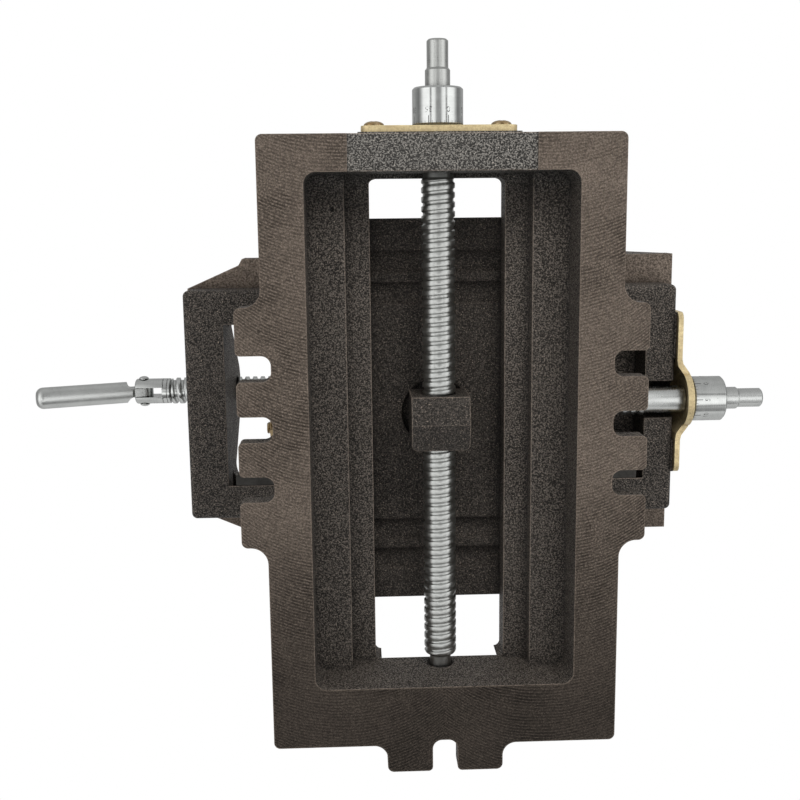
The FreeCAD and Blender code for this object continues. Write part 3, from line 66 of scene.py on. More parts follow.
# One ridge of a thread: shares of a turn, and how far it is below its crest there, in shares of its depth
RIDGE_AT = np.array([0.0, 0.12, 0.16, 0.2, 0.24, 0.29, 0.5, 0.71, 0.76, 0.8, 0.84, 0.88])
RIDGE_DROP = np.array([1.0, 1.0, 0.88, 0.5, 0.12, 0.02, 0.0, 0.02, 0.12, 0.5, 0.88, 1.0])


class ThreadSettings(bpy.types.PropertyGroup):
    """Sizes of the threads that show."""
    feed_depth: FloatProperty(
        name="Feed thread depth", description="Height of the feed screws' ridges", default=0.72 * MM,
        unit="LENGTH")
    jaw_depth: FloatProperty(
        name="Jaw thread depth", description="Height of the jaw screw's ridges", default=1.35 * MM,
        unit="LENGTH")
    pitch: FloatProperty(
        name="Pitch", description="Travel of a feed or jaw screw in one turn", default=4.4 * MM,
        unit="LENGTH")
    set_pitch: FloatProperty(
        name="Set screw pitch", description="Travel of a gib screw in one turn", default=1.0 * MM,
        unit="LENGTH")


class DialSettings(bpy.types.PropertyGroup):
    """Marks on the two graduated collars."""
    divisions: IntProperty(name="Divisions", description="Marks round one collar", default=40, min=8)
    numbered: IntProperty(
        name="Numbered every", description="Divisions from one number to the next", default=5)
    mark: FloatProperty(
        name="Long mark", description="Length of a numbered mark", default=4.2 * MM, unit="LENGTH")
    number: FloatProperty(
        name="Number height", description="Height of the numbers", default=3.7 * MM, unit="LENGTH")


class FinishSettings(bpy.types.PropertyGroup):
    """Colours of the finishes."""
    skin: FloatVectorProperty(
        name="Cast skin", description="Dark rough skin of the castings", default=(0.036, 0.031, 0.0265),
        subtype="COLOR", min=0, max=1)
    milled: FloatVectorProperty(
        name="Milled iron", description="Iron where a cutter has passed", default=(0.225, 0.182, 0.148),
        subtype="COLOR", min=0, max=1)
    zinc: FloatVectorProperty(
        name="Zinc plate", description="Bright zinc on screws, collars and handle",
        default=(0.7, 0.715, 0.7), subtype="COLOR", min=0, max=1)
    brass: FloatVectorProperty(
        name="Brass", description="Satin brass of the retainer plates", default=(0.95, 0.74, 0.42),
        subtype="COLOR", min=0, max=1)
    # Share of the edge lightening: rubbed metal and painted highlight along the castings' edges
    wear: FloatProperty(
        name="Edge wear", description="How far the castings' edges are rubbed bright", default=0.55, min=0,
        max=1, subtype="FACTOR")


class StageSettings(bpy.types.PropertyGroup):
    """Floor, lamps and camera."""
    floor: FloatVectorProperty(
        name="Floor", description="Colour of the floor", default=(0.8, 0.8, 0.8), subtype="COLOR", min=0,
        max=1)
    ambient: FloatProperty(
        name="Room light", description="Light from all round on matt surfaces", default=0.42, min=0)
    key: FloatProperty(name="Key lamp", description="Power of the main lamp", default=2.7, unit="POWER")
    lens: FloatProperty(
        name="Lens", description="Focal length on a 36 mm sensor, in millimetres", default=48.952,
        subtype="DISTANCE_CAMERA")
    camera_place: FloatVectorProperty(
        name="Camera place", description="Where the camera stands", default=(-0.03898, -0.10857, -0.49035),
        subtype="TRANSLATION")
    camera_turn: FloatVectorProperty(
        name="Camera turn", description="How the camera is turned",
        default=[math.radians(a) for a in (170.37625, 2.30329, 0.61893)], subtype="EULER")


# Shapes: a surface is a grid of rows (along the axis) by columns (round it)

def turn_of(columns):
    """Share of one turn at each column, with the first column repeated at the end."""
    return np.linspace(0, 1, columns + 1)


def hexagon(columns, apothem):
    """Radius of a hexagon at each column: r = apothem / cos(angle from the nearest flat), with corners at a
    quarter turn."""
    angle = (turn_of(columns) * 2 * math.pi + math.pi / 6) % (math.pi / 3) - math.pi / 6
    return apothem / np.cos(angle)


def cross(columns, length, width):
    """Radius of a four-armed recess: the lesser of length and half the width / sin(angle from the nearest
    arm)."""
    angle = np.abs((turn_of(columns) * 2 * math.pi + math.pi / 4) % (math.pi / 2) - math.pi / 4)
    return np.minimum(length, width / 2 / np.maximum(np.sin(angle), 1e-3))


def rows(columns, *pairs):
    """Rows round the axis: each pair is the distance s along it and the radius r, both as numbers for a
    circle or as arrays over the columns."""
    return [np.array([np.broadcast_to(value, columns + 1) for value in part], float) for part in zip(*pairs)]


def thread(columns, start, end, radius, depth, pitch):
    """Right-hand thread. Row b stands at s = start + pitch (b + turn - 1), held between start and end, and
    there r = radius - depth x the greater of the ridge's drop at phase (s - start) / pitch - turn and a
    bevel at each end."""
    turn = turn_of(columns)
    ridges = np.arange(math.ceil((end - start) / pitch) + 2)
    beats = (ridges[:, None] + RIDGE_AT).ravel()
    along = np.clip(start + pitch * (beats[:, None] + turn - 1), start, end)
    drop = np.interp(((along - start) / pitch - turn) % 1, RIDGE_AT, RIDGE_DROP, period=1)
    bevel = 1 - np.minimum(np.minimum(along - start, end - along) / depth, 1)
    return along, radius - depth * np.maximum(drop, bevel)


def quads(count_rows, count_columns):
    """Faces of a grid of points, row by row."""
    corner = np.arange((count_rows - 1) * count_columns).reshape(count_rows - 1, count_columns)[:, :-1]
    beyond = corner + count_columns
    return np.stack([corner, corner + 1, beyond + 1, beyond], -1).reshape(-1, 4)


def wrap(origin, direction, s, angle, radius):
    """Point = origin + s a + r (cos b + sin c), where a is the direction, b is a with its numbers moved on
    by one place and c = a x b."""
    a = np.array(direction, float)
    b = np.roll(a, 1)
    around = np.cos(angle)[..., None] * b + np.sin(angle)[..., None] * np.cross(a, b)
    return np.array(origin, float) + s[..., None] * a + radius[..., None] * around


def shell(origin, direction, *blocks):
    """Surface of revolution or screw: the rows of all blocks, wrapped round the axis."""
    along, radius = [np.vstack(part) for part in zip(*blocks)]
    angle = turn_of(along.shape[1] - 1) * 2 * math.pi
    return wrap(origin, direction, along, angle, radius).reshape(-1, 3), quads(*along.shape)


def loft(outlines):
    """Skin over outlines of equal point count, shape (rows, points, 3); each outline closes on itself and
    both ends close on their own middle."""
    ends = outlines[[0, -1]].mean(1, keepdims=True) * np.ones((1, outlines.shape[1], 1))
    stack = np.concatenate([ends[:1], outlines, ends[1:]])
    stack = np.concatenate([stack, stack[:, :1]], 1)
    return stack.reshape(-1, 3), quads(*stack.shape[:2])


def make_piece(name, shells, finish, body, slot, *nodes, sharp=32):
    """Joins shells of (points in mm, faces) into one mesh, merges what meets, turns the faces outward,
    shades it smooth up to the sharp angle and lets it ride on its body in the CAD nodes' place."""
    sizes = [0] + [len(points) for points, _ in shells]
    faces = [faces + start for (_, faces), start in zip(shells, np.cumsum(sizes))]
    mesh = bpy.data.meshes.new(name)
    faces = [list(face) for block in faces for face in block.tolist()]
    mesh.from_pydata((np.vstack([points for points, _ in shells]) * MM).tolist(), [], faces)
    work = bmesh.new()
    work.from_mesh(mesh)
    bmesh.ops.remove_doubles(work, verts=work.verts, dist=2e-6)
    bmesh.ops.dissolve_degenerate(work, edges=work.edges, dist=1e-7)
    bmesh.ops.recalc_face_normals(work, faces=work.faces)
    work.to_mesh(mesh)
    work.free()
    mesh.polygons.foreach_set("use_smooth", np.ones(len(mesh.polygons), bool))
    mesh.set_sharp_from_angle(angle=math.radians(sharp))
    mesh.materials.append(finish_of(finish))
    piece = bpy.data.objects.new(name, mesh)
    bpy.context.scene.collection.objects.link(piece)
    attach(piece, body)
    if nodes:
        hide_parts(*nodes)
    return piece


# Finishes

def shade(colour, factor):
    """A colour made lighter or darker, with its opacity."""
    return tuple(min(1.0, part * factor) for part in colour[:3]) + (1.0,)


class Nodes:
    """Adds nodes to one tree. An input is given a number, a tuple or the output that feeds it."""

    def __init__(self, tree):
        self.tree = tree

    def add(self, kind, inputs=(), **settings):
        """One node with its settings and inputs."""
        node = self.tree.nodes.new("ShaderNode" + kind)
        for key, value in settings.items():
            setattr(node, key, value)
        for key, value in dict(inputs).items():
            if isinstance(value, bpy.types.NodeSocket):
                self.tree.links.new(value, node.inputs[key])
            else:
                node.inputs[key].default_value = value
        return node

    def effect(self, name, **inputs):
        """Outputs of one shared effect, which is made at its first use; inputs are named in lower case."""
        group = bpy.data.node_groups.get(name) or EFFECTS[name]()
        inputs = {key.capitalize(): value for key, value in inputs.items()}
        return self.add("Group", inputs, node_tree=group).outputs

    def place(self):
        """Place on the piece, in Object coordinates."""
        return self.add("TexCoord").outputs["Object"]

    def part(self, vector, axis):
        """One part of a vector, X, Y or Z."""
        return self.add("SeparateXYZ", {0: vector}).outputs[axis]

    def math(self, operation, *values):
        """Result of one sum on up to three numbers."""
        return self.add("Math", dict(enumerate(values)), operation=operation).outputs[0]

    def times(self, first, second):
        """Product of two numbers."""
        return self.math("MULTIPLY", first, second)

    def fit(self, value, low, high, to_low=0.0, to_high=1.0):
        """Value moved smoothly from the span low to high into to_low to to_high."""
        inputs = {"Value": value, "From Min": low, "From Max": high, "To Min": to_low, "To Max": to_high}
        return self.add("MapRange", inputs, interpolation_type="SMOOTHSTEP").outputs[0]

    def mix(self, share, first, second):
        """First number changed to the second, by a share."""
        return self.add("Mix", {0: share, 2: first, 3: second}).outputs[0]

    def colour(self, share, first, second, blend="MIX"):
        """First colour changed by the second, by a share."""
        inputs = {0: share, 6: first, 7: second}
        return self.add("Mix", inputs, data_type="RGBA", blend_type=blend).outputs[2]

    def tint(self, tone, mask, colour, factor, share=1.0):
        """Tone changed to a shade of the colour where the mask is, by a share."""
        mask = mask if share == 1.0 else self.times(mask, share)
        return self.colour(mask, tone, shade(colour, factor))

    def dim(self, colour, *factors):
        """Colour whose red, green and blue are each multiplied by a factor."""
        factors = self.add("CombineXYZ", dict(enumerate(factors))).outputs[0]
        return self.colour(1.0, colour, factors, "MULTIPLY")

    def noise(self, place, scale, detail=2.0, rough=0.5, distort=0.0):
        """Cloudy value from 0 to 1."""
        inputs = {"Vector": place, "Scale": scale, "Detail": detail, "Roughness": rough,
                  "Distortion": distort}
        return self.add("TexNoise", inputs).outputs[0]

    def stretch(self, place, factors):
        """Place scaled along each axis, so that a pattern on it is drawn out."""
        return self.add("Mapping", {"Vector": place, "Scale": factors}).outputs[0]

    def bump(self, height, distance, strength, normal):
        """Normal tilted as a height of 1 standing that many millimetres high would tilt it."""
        inputs = {"Height": height, "Distance": distance * MM, "Strength": strength, "Normal": normal}
        return self.add("Bump", inputs).outputs[0]

    def tones(self, value, *stops, span, start=0.0):
        """Grey that follows a value from 0 to 1 through (place, tone) stops; place is start at 0 and start
        + span at 1."""
        ramp = self.add("ValToRGB", {"Fac": value})
        elements = ramp.color_ramp.elements
        for number, (at, tone) in enumerate(stops):
            stop = elements[number] if number < 2 else elements.new(1.0)
            stop.position, stop.color = (at - start) / span, (tone, tone, tone, 1.0)
        return ramp.outputs[0]


def new_effect(name, outputs, **inputs):
    """An empty shared effect: its nodes, what comes in and a function that sends a value out. All its
    sockets are numbers, apart from Normal."""
    tree = bpy.data.node_groups.new(name, "ShaderNodeTree")
    new_socket = tree.interface.new_socket
    for label, default in inputs.items():
        socket = new_socket(label.capitalize(), in_out="INPUT", socket_type="NodeSocketFloat")
        socket.default_value = default
    for label in outputs:
        kind = "Vector" if label == "Normal" else "Float"
        new_socket(label, in_out="OUTPUT", socket_type="NodeSocket" + kind)
    into = tree.nodes.new("NodeGroupInput").outputs
    out = tree.nodes.new("NodeGroupOutput").inputs
    return Nodes(tree), into, lambda label, value: tree.links.new(value, out[label])


def cast_skin():
    """Orange-peel skin of sand-cast iron: grain height, paler flecks on its crests, bright metal specks,
    dull patches and blowholes."""
    nodes, into, out = new_effect("cast_skin", ("Height", "Fleck", "Spark", "Patch", "Hole"), grain=1.0)
    place = nodes.place()
    scale = nodes.math("DIVIDE", 1000.0, into["Grain"])
    peel = nodes.noise(place, scale, 3.0, 0.62)
    cells = nodes.add("TexVoronoi", {"Vector": place, "Scale": scale}, feature="SMOOTH_F1")
    height = nodes.math("MULTIPLY_ADD", cells.outputs["Distance"], -0.45, peel)
    out("Height", height)
    out("Fleck", nodes.fit(height, 0.22, 0.46))
    bright = nodes.fit(nodes.noise(place, 1600.0, 3.0, 0.7), 0.57, 0.67)
    out("Spark", nodes.times(bright, nodes.fit(height, 0.25, 0.45)))
    out("Patch", nodes.fit(nodes.noise(place, 24.0, 4.0, 0.6), 0.32, 0.68))
    holes = nodes.add("TexVoronoi", {"Vector": place, "Scale": 62.0}).outputs
    chosen = nodes.add("SeparateColor", {"Color": holes["Color"]}).outputs[0]
    deep = nodes.fit(holes["Distance"], 0.035, 0.075, 1.0, 0.0)
    out("Hole", nodes.times(deep, nodes.fit(chosen, 0.8, 0.82)))
    return nodes.tree


def edge_wear():
    """Rounds sharp edges in the shading, lightens the convex ones as rubbed metal and painted highlight, and
    darkens the closed corners as painted shade."""
    nodes, into, out = new_effect("edge_wear", ("Normal", "Wear", "Dirt"), width=0.8, tear=0.5)
    radius = nodes.times(into["Width"], MM)
    rounded = nodes.add("Bevel", {"Radius": radius}, samples=6).outputs[0]
    true = nodes.add("NewGeometry").outputs["Normal"]
    lean = nodes.add("VectorMath", {0: rounded, 1: true}, operation="DOT_PRODUCT").outputs["Value"]
    open_air = nodes.add("AmbientOcclusion", {"Distance": 5 * MM}, samples=6).outputs["AO"]
    torn = nodes.fit(nodes.noise(nodes.place(), 900.0, 3.0, 0.7), nodes.math("SUBTRACT", into["Tear"], 0.2),
                     nodes.math("ADD", into["Tear"], 0.12))
    # Painted highlight and rubbed metal: the convex edges, torn by noise
    edge = nodes.times(nodes.fit(lean, 0.985, 0.90), nodes.fit(open_air, 0.86, 0.97))
    out("Normal", rounded)
    out("Wear", nodes.times(edge, torn))
    # Painted shade: the closed corners, darkened where the ambient occlusion is low
    out("Dirt", nodes.fit(open_air, 0.9, 0.35))
    return nodes.tree


def face_level():
    """Mask of the flat faces at one height of the frame that look up (Facing 1) or down (Facing -1)."""
    nodes, into, out = new_effect("face_level", ("Mask",), level=0.0, facing=1.0)
    where = nodes.add("TexCoord").outputs
    height, level = nodes.part(where["Object"], "Z"), nodes.times(into["Level"], MM)
    near = nodes.math("COMPARE", height, level, 0.25 * MM)
    lean = nodes.times(nodes.part(where["Normal"], "Z"), into["Facing"])
    out("Mask", nodes.times(near, nodes.fit(lean, 0.9, 0.95)))
    return nodes.tree


def milled_arcs():
    """Marks of a wide face cutter: lines where (y - sqrt(R^2 - (|x| - centre)^2)) / spacing is a whole
    number, worn in patches and broken along their length."""
    nodes, into, out = new_effect("milled_arcs", ("Line", "Height"), spacing=1.55, radius=74.0, centre=48.0)
    place = nodes.place()
    grown = nodes.add("VectorMath", {0: place, "Scale": 1 / MM}, operation="SCALE").outputs[0]
    axes = nodes.add("SeparateXYZ", {0: grown}).outputs
    side = nodes.math("SUBTRACT", nodes.math("ABSOLUTE", axes["X"]), into["Centre"])
    squares = [nodes.math("POWER", part, 2.0) for part in (into["Radius"], side)]
    inside = nodes.math("SUBTRACT", *squares)
    arc = nodes.math("SQRT", nodes.math("MAXIMUM", inside, 1.0))
    wander = nodes.times(nodes.noise(place, 55.0), 1.1)
    count = nodes.math("DIVIDE", nodes.math("SUBTRACT", axes["Y"], arc), into["Spacing"])
    phase = nodes.math("ADD", count, wander)
    wave = nodes.math("MULTIPLY_ADD", nodes.math("SINE", nodes.times(phase, 2 * math.pi)), 0.5, 0.5)
    worn = nodes.fit(nodes.noise(place, 38.0, 3.0, 0.6), 0.3, 0.56, 0.3, 1.0)
    broken = nodes.fit(nodes.noise(place, 330.0, 2.0, 0.6), 0.38, 0.6, 0.55, 1.0)
    kept = nodes.times(worn, broken)
    grit = nodes.noise(place, 1500.0, 2.0, 0.7)
    out("Line", nodes.times(nodes.fit(nodes.math("MULTIPLY_ADD", grit, 0.5, wave), 0.45, 1.15), kept))
    out("Height", nodes.times(wave, kept))
    return nodes.tree


def turned_rings():
    """Fine rings left by a lathe tool across the Along value, with soft clouds of tone and a few dark
    specks."""
    nodes, into, out = new_effect("turned_rings", ("Height", "Tone", "Speck"), along=0.0, fineness=2600.0)
    inputs = {"W": into["Along"], "Scale": into["Fineness"], "Detail": 3.0, "Roughness": 0.7}
    ring = nodes.add("TexNoise", inputs, noise_dimensions="1D").outputs[0]
    place = nodes.place()
    cloud = nodes.noise(place, 120.0, 4.0, 0.65, 0.4)
    out("Height", nodes.math("MULTIPLY_ADD", nodes.noise(place, 700.0), 0.5, ring))
    out("Tone", nodes.math("MULTIPLY_ADD", ring, 0.35, nodes.times(cloud, 0.65)))
    out("Speck", nodes.fit(nodes.noise(place, 900.0, 2.0, 0.6), 0.68, 0.75))
    return nodes.tree


def rolled_sheet():
    """Long fine scratches, stains and mottling of rolled or ground metal, drawn out along Y or, with Turn
    1, along X."""
    nodes, into, out = new_effect("rolled_sheet", ("Scratch", "Stain", "Mottle"), turn=0.0)
    place = nodes.place()
    drawn = [nodes.noise(nodes.stretch(place, factors), 2400.0, 3.0, 0.7)
             for factors in ((1.0, 0.03, 1.0), (0.03, 1.0, 1.0))]
    out("Scratch", nodes.mix(into["Turn"], *drawn))
    out("Stain", nodes.fit(nodes.noise(place, 90.0, 5.0, 0.65, 0.6), 0.3, 0.7))
    out("Mottle", nodes.fit(nodes.noise(place, 520.0, 5.0, 0.75), 0.44, 0.6))
    return nodes.tree


EFFECTS = {make.__name__: make for make in (cast_skin, edge_wear, face_level, milled_arcs, turned_rings,
                                            rolled_sheet)}


def new_material(name):
    """An empty material: its nodes and a function that lays in the shader with its inputs."""
    material = bpy.data.materials.new(name)
    material.use_nodes = True
    material.node_tree.nodes.clear()
    nodes = Nodes(material.node_tree)

    def finish(**inputs):
        """Puts the shader in, with inputs named in plain lower case."""
        shader = nodes.add("BsdfPrincipled", {key.replace("_", " ").title().replace("Ior", "IOR"): value
                                              for key, value in inputs.items()})
        nodes.add("OutputMaterial", {"Surface": shader.outputs[0]})
        return material
    return nodes, finish


def cast_iron(name, levels, arcs=False, crest=4.2, round_over=1.1, wear=1.0, corner_shade=0.6):
    """Rough dark casting with flats machined at the given (level, facing) pairs, their edges lightened as
    rubbed metal and painted highlight and their closed corners darkened as painted shade.
    The skin is painted lighter at the front end and the flats painted darker towards the rear, as painted
    light and shade."""
    settings = bpy.context.scene.vise_finish
    cast, cut = settings.skin, settings.milled
    nodes, finish = new_material(name)
    skin = nodes.effect("cast_skin", grain=0.7)
    edge = nodes.effect("edge_wear", width=round_over, tear=0.46)
    place = nodes.place()
    along = nodes.part(place, "Y")
    flat = 0.0
    for level, facing in levels:
        flat = nodes.math("MAXIMUM", nodes.effect("face_level", level=level, facing=facing)["Mask"], flat)
    rough = nodes.colour(skin["Patch"], shade(cast, 0.35), shade(cast, 0.65))
    rough = nodes.tint(rough, skin["Fleck"], cast, crest)
    rough = nodes.tint(rough, skin["Spark"], cut, 2.7)
    # Painted light: the skin lit up towards the front end, where the light falls strongest
    front_light = [nodes.fit(along, -132 * MM, -116 * MM, part, 1.0) for part in (1.42, 1.56, 1.66)]
    rough = nodes.dim(rough, *front_light)
    grit = nodes.noise(place, 1100.0, 3.0, 0.7)
    milled = nodes.colour(nodes.fit(grit, 0.34, 0.66), shade(cut, 0.5), shade(cut, 1.5))
    height = nodes.times(grit, 0.8)
    if arcs:
        lines = nodes.effect("milled_arcs")
        milled = nodes.tint(milled, lines["Line"], cut, 0.2)
        height = nodes.math("MULTIPLY_ADD", lines["Height"], -0.5, height)
        milled = nodes.tint(milled, nodes.fit(nodes.noise(place, 20.0), 0.36, 0.64), cut, 1.4, share=0.6)
        milled = nodes.tint(milled, nodes.fit(skin["Fleck"], 0.0, 0.6, 0.55, 0.0), cut, 0.25)
    # Painted shade: the flats darkened towards the rear, where the light falls off
    rear_shade = nodes.fit(along, 0.0, 140 * MM, 1.0, 0.34)
    milled = nodes.dim(milled, rear_shade, rear_shade, rear_shade)
    colour = nodes.colour(flat, rough, milled)
    # Painted highlight and rubbed metal on the convex edges, painted shade in the closed corners
    colour = nodes.tint(colour, edge["Wear"], cut, 2.0, share=wear * settings.wear)
    colour = nodes.tint(colour, edge["Dirt"], cast, 0.3, share=corner_shade)
    # Painted shade: the blowholes darkened inside
    colour = nodes.tint(colour, skin["Hole"], cast, 0.1, share=0.95)
    relief = nodes.math("MULTIPLY_ADD", skin["Hole"], -2.0, nodes.mix(flat, skin["Height"], height))
    normal = nodes.bump(relief, 0.9, 0.9, edge["Normal"])
    metal = nodes.math("MAXIMUM", nodes.times(flat, 0.8), nodes.times(skin["Spark"], 0.9))
    dull = nodes.mix(flat, nodes.fit(skin["Fleck"], 0.0, 1.0, 0.7, 0.36),
                     nodes.fit(grit, 0.3, 0.7, 0.56, 0.36))
    return finish(base_color=colour, metallic=metal, roughness=dull, normal=normal, specular_ior_level=0.4)


def plated(name, axis=None, colour=None, roughness=(0.08, 0.17)):
    """Bright plated metal turned about one axis, X, Y or Z, or with no turning marks where there is no
    axis."""
    colour = colour or bpy.context.scene.vise_finish.zinc
    nodes, finish = new_material(name)
    place = nodes.place()
    along = nodes.part(place, axis) if axis else nodes.noise(place, 400.0)
    rings = nodes.effect("turned_rings", along=along)
    tone = nodes.colour(nodes.fit(rings["Tone"], 0.3, 0.7), shade(colour, 0.88), shade(colour, 1.08))
    tone = nodes.tint(tone, rings["Speck"], colour, 0.4, share=0.5)
    edge = nodes.effect("edge_wear", width=0.35, tear=0.4)
    # Painted shade in the closed corners
    tone = nodes.tint(tone, edge["Dirt"], colour, 0.3, share=0.55)
    normal = nodes.bump(rings["Height"], 0.012, 0.6, edge["Normal"])
    dull = nodes.fit(rings["Tone"], 0.3, 0.7, *roughness)
    return finish(base_color=tone, metallic=1.0, normal=normal, roughness=dull)


def sheet_metal(name, colour, turn, roughness=(0.3, 0.5), stain=0.5, metallic=1.0):
    """Rolled or ground metal with long fine scratches, stains and rubbed edges."""
    nodes, finish = new_material(name)
    sheet = nodes.effect("rolled_sheet", turn=turn)
    edge = nodes.effect("edge_wear", width=0.4, tear=0.4)
    tone = nodes.colour(nodes.fit(sheet["Scratch"], 0.3, 0.7), shade(colour, 0.8), shade(colour, 1.15))
    tone = nodes.tint(tone, sheet["Stain"], colour, 0.55, share=stain)
    tone = nodes.tint(tone, sheet["Mottle"], colour, 0.55, share=0.6)
    # Rubbed metal and painted highlight on the edges, then painted shade in the closed corners
    tone = nodes.tint(tone, edge["Wear"], colour, 1.5, share=0.5)
    tone = nodes.tint(tone, edge["Dirt"], colour, 0.25, share=0.6)
    normal = nodes.bump(sheet["Scratch"], 0.04, 0.7, edge["Normal"])
    dull = nodes.fit(sheet["Stain"], 0.0, 1.0, *roughness)
    return finish(base_color=tone, metallic=metallic, normal=normal, roughness=dull)


def yellow_plate(name):
    """Yellow zinc: a gold coat whose tint drifts between bronze, straw and rose, its closed corners darkened
    to brown as painted shade."""
    bronze, straw = (0.48, 0.32, 0.15), (0.72, 0.55, 0.32)
    rose, brown = (0.5, 0.27, 0.15), (0.10, 0.07, 0.03)
    nodes, finish = new_material(name)
    place = nodes.place()
    drift = nodes.noise(place, 260.0, 3.0, 0.6, 0.5)
    tone = nodes.colour(nodes.fit(drift, 0.35, 0.55), shade(bronze, 1.0), shade(straw, 1.0))
    tone = nodes.tint(tone, nodes.fit(drift, 0.55, 0.72), rose, 1.0)
    edge = nodes.effect("edge_wear", width=0.25, tear=0.4)
    # Painted shade: the closed corners darkened to brown
    tone = nodes.tint(tone, edge["Dirt"], brown, 1.0, share=0.7)
    normal = nodes.bump(nodes.noise(place, 1800.0), 0.03, 0.5, edge["Normal"])
    dull = nodes.fit(drift, 0.3, 0.7, 0.24, 0.4)
    return finish(base_color=tone, metallic=1.0, normal=normal, roughness=dull)


def ink(name):
    """Black paint sunk in engraved marks, a little uneven."""
    nodes, finish = new_material(name)
    uneven = nodes.noise(nodes.place(), 2500.0)
    tone = nodes.colour(nodes.fit(uneven, 0.4, 0.75), (0.02, 0.02, 0.022, 1), (0.16, 0.16, 0.16, 1))
    return finish(base_color=tone, roughness=nodes.fit(uneven, 0.3, 0.7, 0.5, 0.8))


FINISHES = {
    "base_casting": lambda name: cast_iron(name, [(0, DOWN), (50, UP)], arcs=True),
    # The saddle sits deep in the base's pocket: its paler crests kept low and its corners darkened in full,
    # as painted shade
    "saddle_casting": lambda name: cast_iron(name, [(91.5, UP), (76.9, UP)], crest=2.3, round_over=2.6,
                                             wear=0.1, corner_shade=1.0),
    "body_casting": lambda name: cast_iron(name, [(110, UP), (97, DOWN)]),
    "jaw_casting": lambda name: cast_iron(name, [(158, UP)]),
    "nut_casting": lambda name: cast_iron(name, [], crest=2.0),
    "zinc_along_y": lambda name: plated(name, "Y"),
    "zinc_along_x": lambda name: plated(name, "X"),
    "zinc_handle": lambda name: plated(name, roughness=(0.26, 0.38)),
    "zinc_thread_y": lambda name: plated(name, "Y", (0.6, 0.61, 0.59), (0.26, 0.4)),
    "zinc_thread_x": lambda name: plated(name, "X", roughness=(0.2, 0.32)),
    "zinc_upright": lambda name: plated(name, "Z"),
    "brass_sheet": lambda name: sheet_metal(name, bpy.context.scene.vise_finish.brass, 0.5, metallic=0.55),
    "ground_steel": lambda name: sheet_metal(name, (0.5, 0.5, 0.51), 0.0),
    "stamped_zinc": lambda name: sheet_metal(name, (0.6, 0.61, 0.6), 1.0, stain=0.3),
    "dark_iron": lambda name: sheet_metal(name, (0.05, 0.047, 0.042), 1.0, (0.4, 0.6), 0.6, 0.35),
    "black_steel": lambda name: sheet_metal(name, (0.055, 0.055, 0.06), 0.0, (0.32, 0.5), 0.4, 0.8),
    "gold_zinc": yellow_plate,
    "dial_ink": ink,
}


def finish_of(name):
    """The finish of that name, made at its first use."""
    return bpy.data.materials.get(name) or FINISHES[name](name)


def refinish(finish, *nodes):
    """Gives CAD nodes whose shape stays one finish in all their slots."""
    for node in nodes:
        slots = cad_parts[node].data.materials
        if not slots:
            slots.append(finish_of(finish))
        for place in range(len(slots)):
            slots[place] = finish_of(finish)


# Pieces

class VISE_OT_castings(bpy.types.Operator):
    """Give the castings their cast and milled surfaces"""
    bl_idname = "vise.castings"
    bl_label = "Castings"

    def execute(self, context):
        refinish("base_casting", "base_casting")
        refinish("saddle_casting", "saddle")
        refinish("body_casting", "vise_body")
        refinish("jaw_casting", "movable_jaw")
        return {"FINISHED"}


class VISE_OT_plates(bpy.types.Operator):
    """Finish the retainer plates, jaw plates, gibs, nuts, collars and small plates"""
    bl_idname = "vise.plates"
    bl_label = "Plates, nuts and gibs"

    def execute(self, context):
        refinish("brass_sheet", "y_retainer_plate", "x_retainer_plate")
        refinish("ground_steel", "fixed_jaw_plate", "movable_jaw_plate")
        refinish("nut_casting", "y_nut", "x_nut")
        refinish("dark_iron", "y_gib", "x_gib", "keeper_plate")
        refinish("stamped_zinc", "horseshoe_plate")
        refinish("zinc_along_y", "y_dial_collar")
        refinish("zinc_along_x", "x_dial_collar")
        return {"FINISHED"}


class VISE_OT_feed_screws(bpy.types.Operator):
    """Build the two feed screws with their threads, journals and stepped crank ends"""
    bl_idname = "vise.feed_screws"
    bl_label = "Feed screws"

    def execute(self, context):
        threads = context.scene.vise_thread
        depth, pitch = threads.feed_depth / MM, threads.pitch / MM
        crest, tail, bevel = 8.0, 5.25, 0.5
        root = crest - depth
        journal = self.crank_end(-188.15, -145.55, -125.75, root, 1)
        start, end, tip = journal[-1][0], 109.0, 136.95
        screw = shell((0, 0, FEED_Z), (0, 1, 0), rows(64, *journal),
                      thread(64, start, end, crest, depth, pitch),
                      rows(64, (end, root), (end + 1.25, tail), (tip - bevel, tail), (tip, tail - bevel),
                           (tip, 0)))
        make_piece("feed_screw_front", [screw], "zinc_thread_y", "y_screw", "zinc_steel", "y_lead_screw")
        journal = self.crank_end(176.5, 134.2, 113.5, root, -1)
        start, end, tip = -84.3, journal[-1][0], -86.5
        screw = shell((0, REST_Y, CROSS_Z), (1, 0, 0),
                      rows(64, (tip, 0), (tip, 4.9), (tip + bevel, 4.9 + bevel), (start - 0.2, 5.6),
                           (start, root)),
                      thread(64, start, end, crest, depth, pitch), rows(64, *journal[::-1]))
        make_piece("feed_screw_cross", [screw], "zinc_thread_x", "x_screw", "zinc_steel", "x_lead_screw")
        return {"FINISHED"}

    def crank_end(self, tip, shoulder, wall, root, way):
        """Pairs (s, r) from the tip inwards, along +s or -s by the way: the grip for a crank, the spindle
        in the collar, the journal in the wall, and the root of the thread."""
        grip, spindle, journal = 5.0, 5.85, 7.2
        return [(tip, 0), (tip, grip - 0.8), (tip + 0.8 * way, grip), (tip + 12.8 * way, grip),
                (tip + 13.8 * way, spindle), (shoulder, spindle), (shoulder, journal - 0.3),
                (shoulder + 0.3 * way, journal), (wall, journal), (wall + 0.3 * way, root)]


